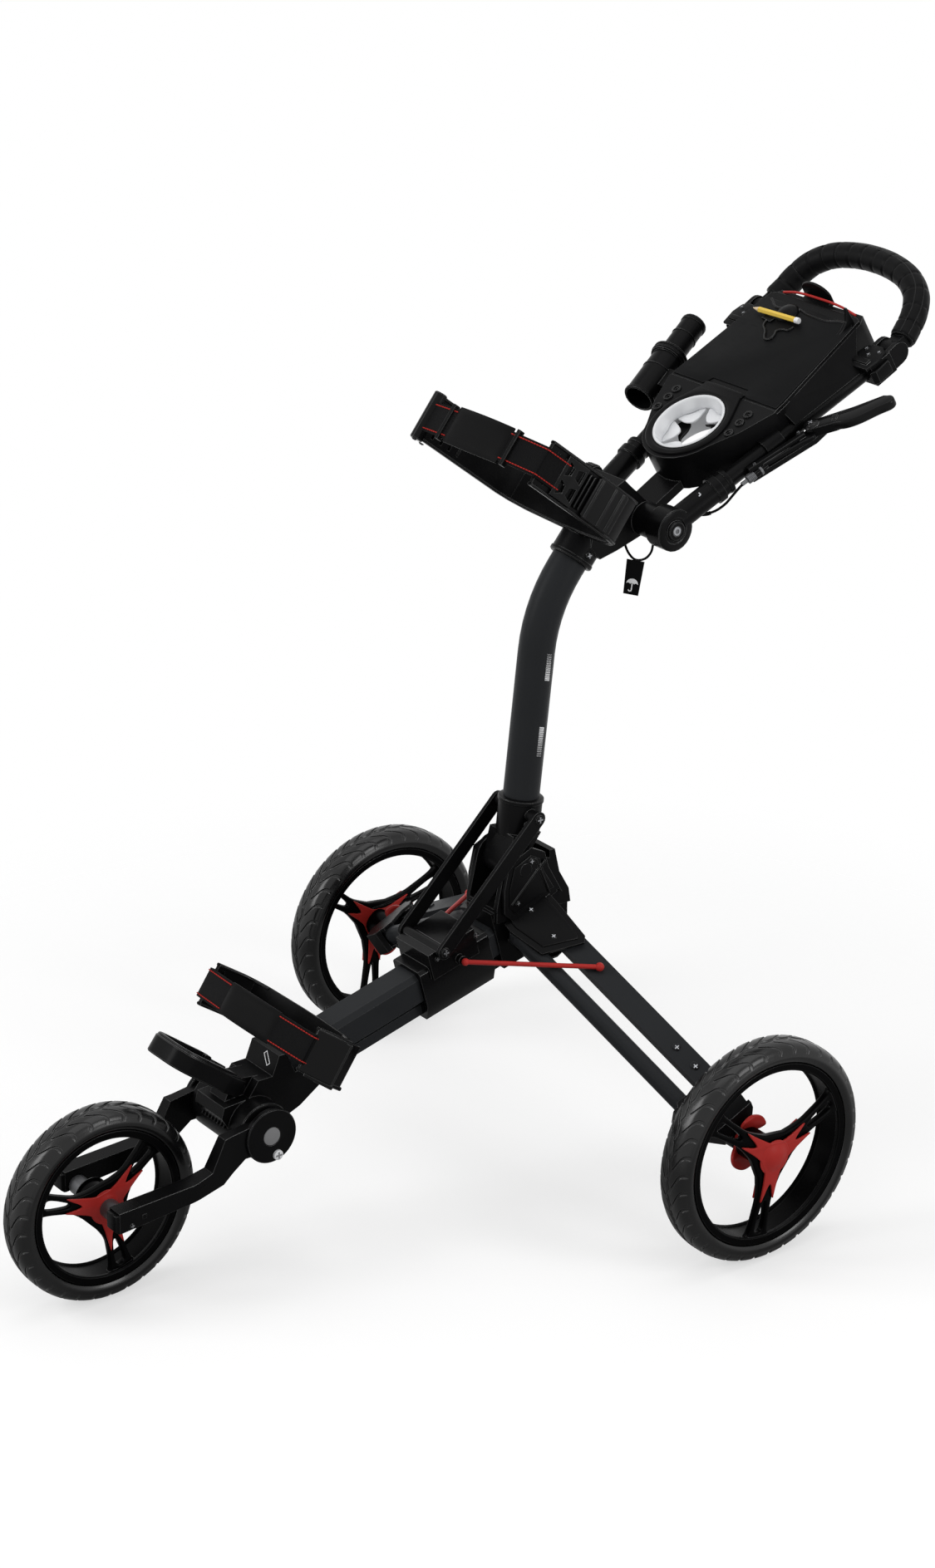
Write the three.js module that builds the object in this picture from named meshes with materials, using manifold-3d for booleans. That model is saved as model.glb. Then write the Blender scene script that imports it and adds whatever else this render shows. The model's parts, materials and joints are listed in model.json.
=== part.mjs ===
// Three-wheeled golf push cart, unfolded and standing on its wheels, with no bag on it.
// Millimetres. +Z is up, the front wheel points to -Y, and X = 0 is the plane of symmetry.
// The parts are laid out from the front axle, and the whole cart is centred on the origin at the end.
import * as THREE from "three";
import { mergeVertices } from "three/addons/utils/BufferGeometryUtils.js";
import Module from "manifold-3d";

const wasm = await Module();
wasm.setup();

// ---------------------------------------------------------------- driving sizes
const GAP = 0.3; // between pieces that touch
const RUN = 0.5; // between pieces that move past each other
const RAD = Math.PI / 180;

const REAR_WHEEL_D = 280;
const FRONT_WHEEL_D = 242;
const R_REAR = REAR_WHEEL_D / 2;
const R_FRONT = FRONT_WHEEL_D / 2;
const TYRE_WIDTH = 47.5;
const TYRE_DEPTH = 23;
const RIM_DEPTH = 9;
const TRACK = 769; // between the rear wheels' centre planes
const WHEELBASE = 674.6;
const AXLE_R = 6;
const HUB_R = 19;
const SPOKE_MID = 9; // spokes' middle plane, outwards of the wheel's
const SPOKE_T = 9;
const REAR_HUB_IN = 22.5; // hub's reach inwards of the wheel's middle plane
const FRONT_HUB_IN = 18;
const REAR_SPOKE = 22; // angle of the first spoke
const FRONT_SPOKE = 42;
const CAP_T = 2.5;
const CAP_DOME = 6;

const TUBE_TOP = { y: 294, z: 254 }; // a point on the front tube's top line
const TUBE_ANGLE = 14.5; // rise towards the rear
const TUBE_FRONT = -62; // ends of the tube, along it from that point
const TUBE_REAR = 316;
const TUBE_W = 44;
const TUBE_H = 41;
const TUBE_WALL = 2;
const RAIL_NECK = 10; // the carriage's rail under the front tube
const RAIL_W = 23;
const RAIL_DROP = 6;
const RAIL_H = 14;

const FORK_PIVOT = { y: 195, z: 173 };
const FORK_OUT = 72; // outer and inner faces of the fork arms at the wheel
const FORK_IN = 50;
const FORK_PIVOT_OUT = 66; // and at the pivot
const FORK_PIVOT_IN = 52.5;
const FORK_DISC_R = 35;
const FORK_PIN_R = 8;

const BAG_LEAN = 38; // of the bag's axis from vertical, at the upper cradle
const CRADLE_T = 5;
const HINGE = { y: 774, z: 806 }; // handle's fold axis
const UPPER_CRADLE = { y: HINGE.y - 85, z: HINGE.z + 28 };
const UPPER_W = 106; // half width between the arms' middles
const UPPER_BACK = 18; // depth of the shallow V behind the bag
const UPPER_ARM = 168;
const UPPER_BAND = 58;
const LOWER_LEAN = 35;
const LOWER_CRADLE = { y: 275, z: 258 };
const LOWER_W = 106;
const LOWER_BACK = 12;
const LOWER_ARM = 62;
const LOWER_BAND = 56;
const STRAP_W = 38;
const STRAP_T = 3;
const PAD_T = 9;
const BRACKET_HALF = 29; // half width of the lower bracket
const SLOT_H = 3.8; // ladder slots of the upper cradle's arms
const HOOP_PIVOT = { y: 180, z: 222 };
const HOOP_W = 35;
const HOOP_L = 108;
const HOOP_BAND = 23;
const HOOP_T = 7;

const COLUMN_PIVOT = { y: 590, z: 397 };
const COLUMN_FOOT = { y: 605, z: 425 };
const COLUMN_R = 22.5;
const COLUMN_WALL = 2;
const COLUMN_LEAN = 6.8;
const COLUMN_STRAIGHT = 236;
const COLUMN_BEND_R = 186;
const COLUMN_TOP_LEAN = 40;
const COLUMN_TOP = 34; // straight above the bend
const COLUMN_SUNK = 14; // the tube's lower end, from the foot
const SLEEVE_WALL = 4.5;
const YOKE_R = 19;
const YOKE_HALF = 24;
const HUB_HALF = 25; // half widths of the hub's low block and of its cheeks
const CHEEK_OUT = 31;
const COVER_T = 5.7;
const PIN_R = 4;

const CARRIAGE_FROM = 150; // along the front tube
const CARRIAGE_TO = 255;
const CARRIAGE_OUT = 28;
const HUMP_OUT = 33;
const STRUT_TOP = { y: COLUMN_PIVOT.y + 16.5, z: COLUMN_PIVOT.z + 64 };
const STRUT_FOOT = { y: 465.8, z: 323.5 };
const STRUT_IN = 37.5;
const STRUT_T = 5;
const STRUT_W = 19;
const ROD_R = 3;
const ROD_ROOT = [45, 494, 304];
const LUG_END = 40; // outer face of the carriage's lug for it
const ROD_LIFT = 2; // room under its outer end
const ROD_ON_BAR = 77; // along the leg's main bar

const LEG_ROOT = [60, 622, 318.6]; // main bar's pivot on the hub
const LEG_END = [TRACK / 2 - 59.5, WHEELBASE + 0.4, R_REAR + 35]; // and on the wheel bracket
const LEG_FOLDED = [0.06, -0.9, -0.4316]; // where the bar points when the cart is folded
const LEG_BAR_W = 29;
const LEG_BAR_T = 14;
const LEG_ROD_R = 11;
const ROD_EYE_R = 9.5;
const ROD_SIDE = { u: -25, v: -43 }; // second bar's pivots, from those of the main bar
const CLEVIS_T = 4;
const BRACKET_OUT = TRACK / 2 - 32.5; // outer end of the wheel bracket
const TAB_T = 4;

const HANDLE_ANGLE = 30;
const HANDLE_ROOT_X = 70; // tubes' half distance at the hinge
const HANDLE_SPREAD = 7.6; // angle of each tube from the middle plane
const HANDLE_L = 334;
const HANDLE_TUBE_R = 11;
const SLEEVE_R = 15;
const SLEEVE_END = 92;
const KNUCKLE_R = 26;
const KNUCKLE_IN = 60;
const KNUCKLE_OUT = 85;
const BARREL_R = 21;
const HINGE_PIN_R = 5;
const DECK = 34; // top of the console's tray above the handle tubes' plane
const DECK_T = 4; // rim of the deck round the cup, and the lid
const TRAY_LOW = -12;
const CUP_AT = 125;
const CUP_R = 46;
const CUP_WALL = 4;
const LID_FROM = 184;
const LID_TO = 354;
const UMBRELLA_R = 20;
const UMBRELLA_WALL = 2.5;
const GRIP_R = 15;
const GRIP_PIVOT = HANDLE_L + 18; // along the handle
const CABLE_R = 1.6;
const TAG_CORD_R = 1.5;
const TAG_SET = 6; // in front of the handle's fold axis
const TAG_L = 44;
const TAG_T = 2.6;
const CABLE_SLACK = 13; // of the leg's brake cable, below its bar

// ---------------------------------------------------------------- helpers
const xyz = (p) => new THREE.Vector3(p[0], p[1], p[2]);

function toSolid(geometry) {
  const g = geometry.clone();
  g.deleteAttribute("normal");
  g.deleteAttribute("uv");
  const m = mergeVertices(g, 1e-4);
  return new wasm.Manifold(
    new wasm.Mesh({
      numProp: 3,
      vertProperties: new Float32Array(m.attributes.position.array),
      triVerts: new Uint32Array(m.index.array),
    }),
  );
}

function toGeometry(solid) {
  const m = solid.getMesh();
  const g = new THREE.BufferGeometry();
  g.setAttribute("position", new THREE.BufferAttribute(m.vertProperties, 3));
  g.setIndex(new THREE.BufferAttribute(m.triVerts, 1));
  g.computeVertexNormals();
  return g;
}

// Boolean join, cut and overlap of closed geometries.
const join = (...list) => toGeometry(list.map(toSolid).reduce((a, b) => a.add(b)));
const cut = (first, ...rest) =>
  toGeometry(rest.map(toSolid).reduce((a, b) => a.subtract(b), toSolid(first)));
const overlap = (a, b) => toGeometry(toSolid(a).intersect(toSolid(b)));

function box(x0, x1, y0, y1, z0, z1) {
  const g = new THREE.BoxGeometry(x1 - x0, y1 - y0, z1 - z0);
  return g.translate((x0 + x1) / 2, (y0 + y1) / 2, (z0 + z1) / 2);
}

// Two limits in rising order, on the side of X given by s.
const onSide = (s, a, b) => (s > 0 ? [a, b] : [-b, -a]);

// Round bar from one point to another; endR tapers it.
function bar(from, to, r, sides = 12, endR = r) {
  const a = xyz(from);
  const b = xyz(to);
  const along = b.clone().sub(a);
  const g = new THREE.CylinderGeometry(endR, r, along.length(), sides);
  const turn = new THREE.Quaternion().setFromUnitVectors(new THREE.Vector3(0, 1, 0), along.normalize());
  return g.applyQuaternion(turn).translate((a.x + b.x) / 2, (a.y + b.y) / 2, (a.z + b.z) / 2);
}

const mirrored = (points) => points.map(([x, y]) => [-x, y]).reverse();

// Corner points of an arc about x, y, between two angles in degrees.
function arc(x, y, r, a0, a1, parts = 6) {
  return Array.from({ length: parts + 1 }, (_, i) => {
    const a = (a0 + ((a1 - a0) * i) / parts) * RAD;
    return [x + r * Math.cos(a), y + r * Math.sin(a)];
  });
}

const circle = (x, y, r, parts = 12) => arc(x, y, r, 0, 360 - 360 / parts, parts - 1);

// Points laid out from a pivot in Y and Z.
const about = (pivot, points) => points.map(([y, z]) => [pivot.y + y, pivot.z + z]);

const toPoints = (points) => points.map((p) => new THREE.Vector2(p[0], p[1]));

// A plate: an outline in x and y, pushed from z = low to z = high.
function plate(points, low, high, holes = []) {
  const s = new THREE.Shape(toPoints(points));
  s.holes = holes.map((h) => new THREE.Path(toPoints(h)));
  return new THREE.ExtrudeGeometry(s, { depth: high - low, bevelEnabled: false }).translate(0, 0, low);
}

// Frame from an origin and its x and y directions.
function frame(origin, x, y) {
  const ex = xyz(x).normalize();
  const ey = xyz(y).normalize();
  return new THREE.Matrix4().makeBasis(ex, ey, ex.clone().cross(ey)).setPosition(xyz(origin));
}

// Side view: an outline in Y and Z, from x0 to x1.
const SIDE = frame([0, 0, 0], [0, 1, 0], [0, 0, 1]);
const side = (points, x0, x1, holes) => plate(points, x0, x1, holes).applyMatrix4(SIDE);
const barX = (x0, x1, at, r, sides = 12) => bar([x0, at.y, at.z], [x1, at.y, at.z], r, sides);

// Band of even thickness along a line of points, as an outline.
function bandOutline(points, thick) {
  const offset = (p, i, s) => {
    const a = new THREE.Vector2(...points[Math.max(i - 1, 0)]);
    const b = new THREE.Vector2(...p);
    const c = new THREE.Vector2(...points[Math.min(i + 1, points.length - 1)]);
    const d0 = (i ? b.clone().sub(a) : c.clone().sub(b)).normalize();
    const d1 = (i < points.length - 1 ? c.clone().sub(b) : b.clone().sub(a)).normalize();
    const mid = d0.clone().add(d1).normalize();
    const reach = (s * thick) / 2 / Math.max(mid.dot(d0), 0.5);
    return [p[0] - mid.y * reach, p[1] + mid.x * reach];
  };
  const right = points.map((p, i) => offset(p, i, -1));
  const left = points.map((p, i) => offset(p, i, 1)).reverse();
  return right.concat(left);
}

// A section pushed along a smooth line through points.
function sweep(points, section, steps, hole) {
  const s = new THREE.Shape(toPoints(section));
  if (hole) s.holes = [new THREE.Path(toPoints(hole))];
  const curve = new THREE.CatmullRomCurve3(points.map(xyz), false, "centripetal");
  return new THREE.ExtrudeGeometry(s, { steps, bevelEnabled: false, extrudePath: curve });
}

// Colours and finishes.
const look = (color, roughness, metalness = 0) =>
  new THREE.MeshStandardMaterial({ color, roughness, metalness });
const PLASTIC = () => look(0x161617, 0.5);
const CHARCOAL = () => look(0x26292c, 0.45, 0.5);
const RED = () => look(0xb8302b, 0.45);
const RUBBER = () => look(0x131313, 0.85);
const STEEL = () => look(0x9a9ca0, 0.35, 0.9);
const YELLOW = () => look(0xe3b91f, 0.5);
const WHITE = () => look(0xd9dadc, 0.5);
const WEBBING = () => look(0x101010, 0.9);

function piece(group, name, geometry, material) {
  const mesh = new THREE.Mesh(geometry, material);
  mesh.name = name;
  group.add(mesh);
  return mesh;
}

const cart = new THREE.Group();

// The left piece as it is made, and the right one as its mirror image.
function pair(name, geometry, material) {
  piece(cart, `${name}_left`, geometry, material());
  piece(cart, `${name}_right`, geometry, material()).scale.x = -1;
}

// ---------------------------------------------------------------- wheels
// A wheel is built about the X axis, with its outer side towards +X.
function turned(profile, sides = 36) {
  const points = toPoints(profile);
  points.push(points[0].clone());
  return new THREE.LatheGeometry(points, sides).applyMatrix4(new THREE.Matrix4().makeRotationZ(-Math.PI / 2));
}

function tyre(radius) {
  const w = TYRE_WIDTH / 2;
  const bed = radius - TYRE_DEPTH;
  return turned([
    [bed, -w + 4],
    [radius - 9, -w],
    [radius - 3, -w + 5],
    [radius, -w + 15],
    [radius, w - 15],
    [radius - 3, w - 5],
    [radius - 9, w],
    [bed, w - 4],
  ]);
}

const SPOKE_FACE = SPOKE_MID + SPOKE_T / 2;

// One spoke: it leaves the hub and forks into two prongs that reach the rim.
function spoke(reach) {
  const edge = [
    [0, -14],
    [reach * 0.36, -9],
    [reach * 0.7, -13],
    [reach, -24],
    [reach, 24],
    [reach * 0.7, 13],
    [reach * 0.36, 9],
    [0, 14],
  ];
  const slot = [
    [reach * 0.42, 0],
    [reach * 0.7, -6],
    [reach * 0.93, -13],
    [reach * 0.93, 13],
    [reach * 0.7, 6],
  ];
  return plate(edge, SPOKE_MID - SPOKE_T / 2, SPOKE_FACE, [slot]);
}

function rim(radius, hubIn, firstSpoke) {
  const w = TYRE_WIDTH / 2 - 3;
  const out = radius - TYRE_DEPTH - GAP;
  const barrel = turned([
    [out - RIM_DEPTH, -w + 2],
    [out - 2, -w],
    [out, -w + 2],
    [out, w - 2],
    [out - 2, w],
    [out - RIM_DEPTH, w - 2],
  ]);
  const spokes = [0, 120, 240].map((turn) =>
    spoke(out - RIM_DEPTH / 2)
      .rotateZ((firstSpoke + turn) * RAD)
      .applyMatrix4(SIDE),
  );
  return join(barrel, bar([-hubIn, 0, 0], [SPOKE_FACE, 0, 0], HUB_R, 20), ...spokes);
}

// Splash-shaped cap over the hub, with two points that run out along each spoke.
function hubCap(face, firstSpoke) {
  const splash = [
    [-60, 21],
    [-24, 30],
    [-13, 55],
    [-5, 34],
    [6, 34],
    [13, 52],
    [25, 28],
  ];
  const points = [0, 120, 240].flatMap((turn) =>
    splash.map(([angle, r]) => {
      const t = (firstSpoke + turn + angle) * RAD;
      return [r * Math.cos(t), r * Math.sin(t)];
    }),
  );
  const inner = face + GAP;
  const dome = bar([inner + 1, 0, 0], [inner + CAP_DOME, 0, 0], 22, 18, 14);
  return join(side(points, inner, inner + CAP_T), dome);
}

function frontWheel() {
  const wheel = new THREE.Group();
  wheel.position.z = R_FRONT;
  cart.add(wheel);
  const hole = bar([-FORK_OUT, 0, 0], [FORK_OUT, 0, 0], AXLE_R + RUN);
  piece(wheel, "front_tyre", tyre(R_FRONT), RUBBER());
  piece(wheel, "front_rim", cut(rim(R_FRONT, FRONT_HUB_IN, FRONT_SPOKE), hole), PLASTIC());
  piece(wheel, "front_hub_cap_left", cut(hubCap(SPOKE_FACE, FRONT_SPOKE), hole), RED());
  const back = cut(hubCap(FRONT_HUB_IN, FRONT_SPOKE), hole);
  piece(wheel, "front_hub_cap_right", back, RED()).scale.x = -1;
  const spacer = (s, face) =>
    bar([s * (face + GAP + CAP_DOME + RUN), 0, 0], [s * (FORK_IN - GAP), 0, 0], AXLE_R + 6, 16);
  const shaft = bar([-FORK_OUT + 6, 0, 0], [FORK_OUT - 6, 0, 0], AXLE_R);
  piece(wheel, "front_axle", join(shaft, spacer(1, SPOKE_FACE), spacer(-1, FRONT_HUB_IN)), STEEL());
}
frontWheel();

// A rear wheel's group, placed on one side of the cart.
function rearWheel(sign, suffix) {
  const wheel = new THREE.Group();
  wheel.position.set((sign * TRACK) / 2, WHEELBASE, R_REAR);
  wheel.scale.x = sign;
  cart.add(wheel);
  const bored = bar([-REAR_HUB_IN - 1, 0, 0], [SPOKE_FACE - 6, 0, 0], AXLE_R + RUN);
  piece(wheel, `rear_tyre_${suffix}`, tyre(R_REAR), RUBBER());
  piece(wheel, `rear_rim_${suffix}`, cut(rim(R_REAR, REAR_HUB_IN, REAR_SPOKE), bored), PLASTIC());
  piece(wheel, `hub_cap_${suffix}`, hubCap(SPOKE_FACE, REAR_SPOKE), RED());
}
rearWheel(1, "left");
rearWheel(-1, "right");

// ---------------------------------------------------------------- fork
function forkArm() {
  const p = FORK_PIVOT;
  const nose = -16;
  const sideView = side(
    [
      [nose, R_FRONT - 6],
      [p.y - 111, R_FRONT + 2],
      [p.y - 67, R_FRONT + 9],
      [p.y - 35, p.z - 20],
      ...arc(p.y, p.z, 22, -78, 98, 8),
      [p.y - 63, p.z + 14],
      [p.y - 83, R_FRONT + 30],
      [p.y - 109, R_FRONT + 24],
      [nose, R_FRONT + 20],
    ],
    0,
    FORK_OUT + 1,
  );
  const bend = p.y - 103;
  const straight = p.y - 53;
  const topView = plate(
    [
      [FORK_IN, nose - 1],
      [FORK_OUT, nose - 1],
      [FORK_OUT, bend],
      [FORK_PIVOT_OUT, straight],
      [FORK_PIVOT_OUT, p.y + 40],
      [FORK_PIVOT_IN, p.y + 40],
      [FORK_PIVOT_IN, straight],
      [FORK_IN, bend],
    ],
    0,
    R_FRONT * 2,
  );
  const axleHole = barX(FORK_IN - 1, FORK_OUT - 5, { y: 0, z: R_FRONT }, AXLE_R + GAP);
  return cut(overlap(sideView, topView), axleHole, barX(0, FORK_OUT, p, FORK_PIN_R + GAP, 16));
}
pair("fork_arm", forkArm(), CHARCOAL);

function forkBolt() {
  const p = FORK_PIVOT;
  const head = (s) => barX(s * (FORK_PIVOT_OUT + GAP), s * (FORK_PIVOT_OUT + 3), p, 11.5, 20);
  const out = FORK_PIVOT_OUT + 1;
  piece(cart, "fork_pivot_bolt", join(barX(-out, out, p, FORK_PIN_R, 16), head(1), head(-1)), STEEL());
}
forkBolt();

// ---------------------------------------------------------------- front tube
// Its frame: x across, y up along the tube, z normal to its top face.
const tubeUp = [0, Math.cos(TUBE_ANGLE * RAD), Math.sin(TUBE_ANGLE * RAD)];
const TUBE = frame([0, TUBE_TOP.y, TUBE_TOP.z], [1, 0, 0], tubeUp);
// Sections in x and z of that frame are pushed along its y.
const ALONG = TUBE.clone().multiply(frame([0, 0, 0], [-1, 0, 0], [0, 0, 1]));
const alongTube = (points, from, to, holes) => plate(points, from, to, holes).applyMatrix4(ALONG);

// Box section with a rail under it, grown by a clearance.
function tubeSolid(grow, from, to) {
  const w = TUBE_W / 2 + grow;
  const low = -TUBE_H - grow;
  const half = [
    [w - 6, grow],
    [w, -6],
    [w, low + 5],
    [w - 5, low],
  ];
  const section = alongTube(half.concat(mirrored(half)), from, to);
  const railTop = -TUBE_H - RAIL_DROP + grow;
  const neckW = RAIL_NECK / 2 + grow;
  const railW = RAIL_W / 2 + grow;
  const neck = box(-neckW, neckW, from, to, railTop - 1, low + 1).applyMatrix4(TUBE);
  const rail = box(-railW, railW, from, to, railTop - RAIL_H - 2 * grow, railTop).applyMatrix4(TUBE);
  return join(section, neck, rail);
}

function frontTube() {
  const w = TUBE_W / 2 - TUBE_WALL;
  const half = [
    [w - 5, -TUBE_WALL],
    [w, -8],
    [w, -TUBE_H + TUBE_WALL + 4],
    [w - 4, -TUBE_H + TUBE_WALL],
  ];
  const hollow = alongTube(half.concat(mirrored(half)), TUBE_FRONT - 1, TUBE_REAR + 1);
  piece(cart, "front_tube", cut(tubeSolid(0, TUBE_FRONT, TUBE_REAR), hollow), CHARCOAL());
}
frontTube();

// ---------------------------------------------------------------- cradles and straps
// Frame of a cradle: y points out of its mouth and z runs up the bag.
function bagFrame(at, lean) {
  return frame([0, at.y, at.z], [-1, 0, 0], [0, -Math.cos(lean * RAD), Math.sin(lean * RAD)]);
}
const UPPER = bagFrame(UPPER_CRADLE, BAG_LEAN);
const LOWER = bagFrame(LOWER_CRADLE, LOWER_LEAN);

// A shallow V behind the bag and an arm beside it, half of it.
function cradleHalf(half, back, arm) {
  return [
    [22, -back],
    [half * 0.75, -back * 0.35],
    [half * 0.93, back * 0.4],
    [half, back + 6],
    [half, arm],
  ];
}

function cradle(half, back, arm, band, slots, grow = 0) {
  const line = cradleHalf(half, back, arm);
  const outline = bandOutline(mirrored(line).concat(line), CRADLE_T + 2 * grow);
  const shell = plate(outline, -band / 2 - grow, band / 2 + grow);
  const openings = slots.flatMap((at) =>
    [1, -1].map((s) => box(s * half - 9, s * half + 9, at, at + SLOT_H, -STRAP_W / 2 - 2, STRAP_W / 2 + 2)),
  );
  return cut(shell, ...openings);
}

// Strap round the tips of a cradle's arms, with a pad in its middle.
function strap(half, arm, padW, padH) {
  const x = half + CRADLE_T / 2 + GAP + STRAP_T / 2;
  const tip = arm + GAP + STRAP_T;
  const line = [
    [x, arm - 34],
    [x, tip - 2],
    [x - 5, tip + 2],
    [half * 0.5, tip + 9],
    [0, tip + 11],
  ];
  const web = plate(bandOutline(line.concat(mirrored(line).slice(1)), STRAP_T), -STRAP_W / 2, STRAP_W / 2);
  const padLine = [
    [-padW / 2, tip + 10],
    [0, tip + 12],
    [padW / 2, tip + 10],
  ];
  return join(web, plate(bandOutline(padLine, PAD_T).reverse(), -padH / 2, padH / 2));
}

function lowerBracket() {
  const p = FORK_PIVOT;
  const h = HOOP_PIVOT;
  const body = side(
    about(p, [
      [-39, 32],
      [-43, 19],
      [-33, 1],
      [-19, -15],
      [0, -26],
      [37, -9],
      [67, 3],
      [97, 23],
      [123, 53],
      [127, 72],
      [101, 73],
      [75, 51],
      [61, 49],
      [49, 77],
      [39, 77],
      [29, 53],
      [9, 53],
      [-5, 34],
    ]),
    -BRACKET_HALF,
    BRACKET_HALF,
  );
  const disc = barX(-FORK_PIVOT_IN + RUN, FORK_PIVOT_IN - RUN, p, FORK_DISC_R, 24);
  const lug = side([...about(p, [[-33, 27], [17, 27], [17, 53]]), ...arc(h.y, h.z, 9, 60, 200, 5)], -16, 16);
  const socket = tubeSolid(GAP, TUBE_FRONT - GAP, TUBE_FRONT + 200);
  const hoopHole = barX(-40, 40, h, 3 + RUN, 12);
  return cut(join(body, disc, lug), socket, barX(-80, 80, p, FORK_PIN_R + RUN, 16), hoopHole);
}

function lowerParts() {
  const shell = cradle(LOWER_W, LOWER_BACK, LOWER_ARM, LOWER_BAND, [LOWER_ARM - 12]).applyMatrix4(LOWER);
  const clear = tubeSolid(GAP, TUBE_FRONT - 20, TUBE_FRONT + 200);
  const top = about(FORK_PIVOT, [[30, -73], [30, 49], [51, 78], [103, 78], [125, 73], [135, -73]]);
  const seat = (grow) => side(top, -BRACKET_HALF - grow, BRACKET_HALF + grow);
  const room = cradle(LOWER_W, LOWER_BACK, LOWER_ARM, LOWER_BAND, [], GAP).applyMatrix4(LOWER);
  piece(cart, "lower_bracket", cut(lowerBracket(), cut(room, seat(0))), PLASTIC());
  piece(cart, "lower_cradle", cut(shell, clear, seat(GAP)), PLASTIC());
  piece(cart, "lower_strap", strap(LOWER_W, LOWER_ARM, 96, 52).applyMatrix4(LOWER), WEBBING());
}
lowerParts();

// U-shaped rest for the bag's foot, hinged on the bracket's nose.
function hoop() {
  const h = HOOP_PIVOT;
  const at = bagFrame(h, LOWER_LEAN + 3);
  const corner = 18;
  const half = [
    [0, HOOP_L],
    ...arc(HOOP_W - corner, HOOP_L - corner, corner, 90, 0, 3),
    [HOOP_W, 22],
    [21, 8],
    [21, 0],
  ];
  const line = half.slice(1).reverse().concat(mirrored(half.slice(1)).reverse());
  const band = plate(bandOutline(line, HOOP_T), -HOOP_BAND / 2, HOOP_BAND / 2).applyMatrix4(at);
  const eye = (s) => barX(s * 17.5, s * 24.5, h, 9, 16);
  return join(band, eye(1), eye(-1), barX(-20, 20, h, 3, 12));
}
piece(cart, "bag_stop_hoop", hoop(), PLASTIC());

// ---------------------------------------------------------------- legs
const LEG_DIR = xyz(LEG_END).sub(xyz(LEG_ROOT)).normalize();
const LEG_AXIS = xyz(LEG_FOLDED).cross(LEG_DIR).normalize(); // both bars swing about it
const LEG_SPAN = xyz(LEG_END).distanceTo(xyz(LEG_ROOT));
// Frame of a leg: x out along the main bar, y to the rear, z along the pivots.
const LEG = frame(LEG_ROOT, LEG_DIR.toArray(), LEG_AXIS.clone().cross(LEG_DIR).toArray());
const barHalf = LEG_BAR_T / 2;
const hubPivots = [
  [0, 0],
  [ROD_SIDE.u, ROD_SIDE.v],
];
const outPivots = hubPivots.map(([u, v]) => [u + LEG_SPAN, v]);
const pinAt = ([u, v], w0, w1, r, sides = 12) => bar([u, v, w0], [u, v, w1], r, sides);

function legBar() {
  const r = LEG_BAR_W / 2;
  const outline = [...arc(0, 0, r, 270, 90, 8), ...arc(LEG_SPAN, 0, r, 90, -90, 8)].reverse();
  const screws = [214, 246].map((u) => bar([u, 0, barHalf - 1], [u, 0, barHalf + 2], 4.5, 12));
  const holes = [hubPivots[0], outPivots[0]].map((p) => pinAt(p, -20, 20, PIN_R + GAP));
  return cut(join(plate(outline, -barHalf, barHalf), ...screws), ...holes).applyMatrix4(LEG);
}
pair("leg_bar", legBar(), CHARCOAL);

function legRod() {
  const [a, b] = [hubPivots[1], outPivots[1]];
  const eyes = [a, b].map((p) => pinAt(p, -LEG_ROD_R, LEG_ROD_R, ROD_EYE_R, 16));
  const tube = bar([a[0] + 4, a[1], 0], [b[0] - 4, b[1], 0], LEG_ROD_R, 16);
  const holes = [a, b].map((p) => pinAt(p, -20, 20, PIN_R + GAP));
  return cut(join(tube, ...eyes), ...holes).applyMatrix4(LEG);
}
pair("leg_rod", legRod(), CHARCOAL);

// Clevis for both bars, and the axle of the wheel.
function wheelBracket() {
  const [main, second] = outPivots;
  const inner = barHalf + RUN;
  const rodInner = LEG_ROD_R + RUN;
  const ear = (p, r, from) =>
    [1, -1].map((s) => plate(circle(p[0], p[1], r, 16), ...onSide(s, from, from + CLEVIS_T)));
  const wall = [
    [main[0] + 17, 16],
    [main[0] + 17, -17],
    [second[0] + 13, -19],
    [second[0] + 13, second[1] - 8],
    [second[0] - 6, second[1] - 13],
    [second[0] - 4, second[1] - 20],
    [main[0] - 2, second[1] - 22],
    [main[0] + 34, -34],
    [main[0] + 34, 8],
    [main[0] + 26, 16],
  ].reverse();
  const web = plate(wall, -rodInner - CLEVIS_T, rodInner + CLEVIS_T);
  const flange = (from, to) =>
    plate(
      [
        [main[0], 15],
        [main[0] - 13, 6],
        [main[0] - 13, -8],
        [second[0] - 10, second[1] + 6],
        [second[0] - 10, second[1] - 8],
        [second[0], second[1] - 16],
        [main[0], second[1] - 14],
        [main[0] + 22, -30],
        [main[0] + 22, 12],
      ].reverse(),
      from,
      to,
    );
  const top = flange(rodInner, rodInner + CLEVIS_T);
  const low = flange(-rodInner - CLEVIS_T, -rodInner);
  const ears = ear(main, 14, inner);
  const pins = outPivots.map((p) => pinAt(p, -rodInner - 1, rodInner + 1, PIN_R));
  const centre = { y: WHEELBASE, z: R_REAR };
  const boss = barX(BRACKET_OUT - 28, BRACKET_OUT, centre, 16, 20);
  const axle = barX(BRACKET_OUT - 2, TRACK / 2 + SPOKE_FACE - 8, centre, AXLE_R);
  const clevis = join(web, top, low, ...ears, ...pins).applyMatrix4(LEG);
  const inside = box(0, BRACKET_OUT, 0, 2 * WHEELBASE, -R_REAR, 3 * REAR_WHEEL_D);
  const near = overlap(join(clevis, boss), inside);
  return join(near, axle);
}
pair("wheel_bracket", wheelBracket(), PLASTIC);

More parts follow.
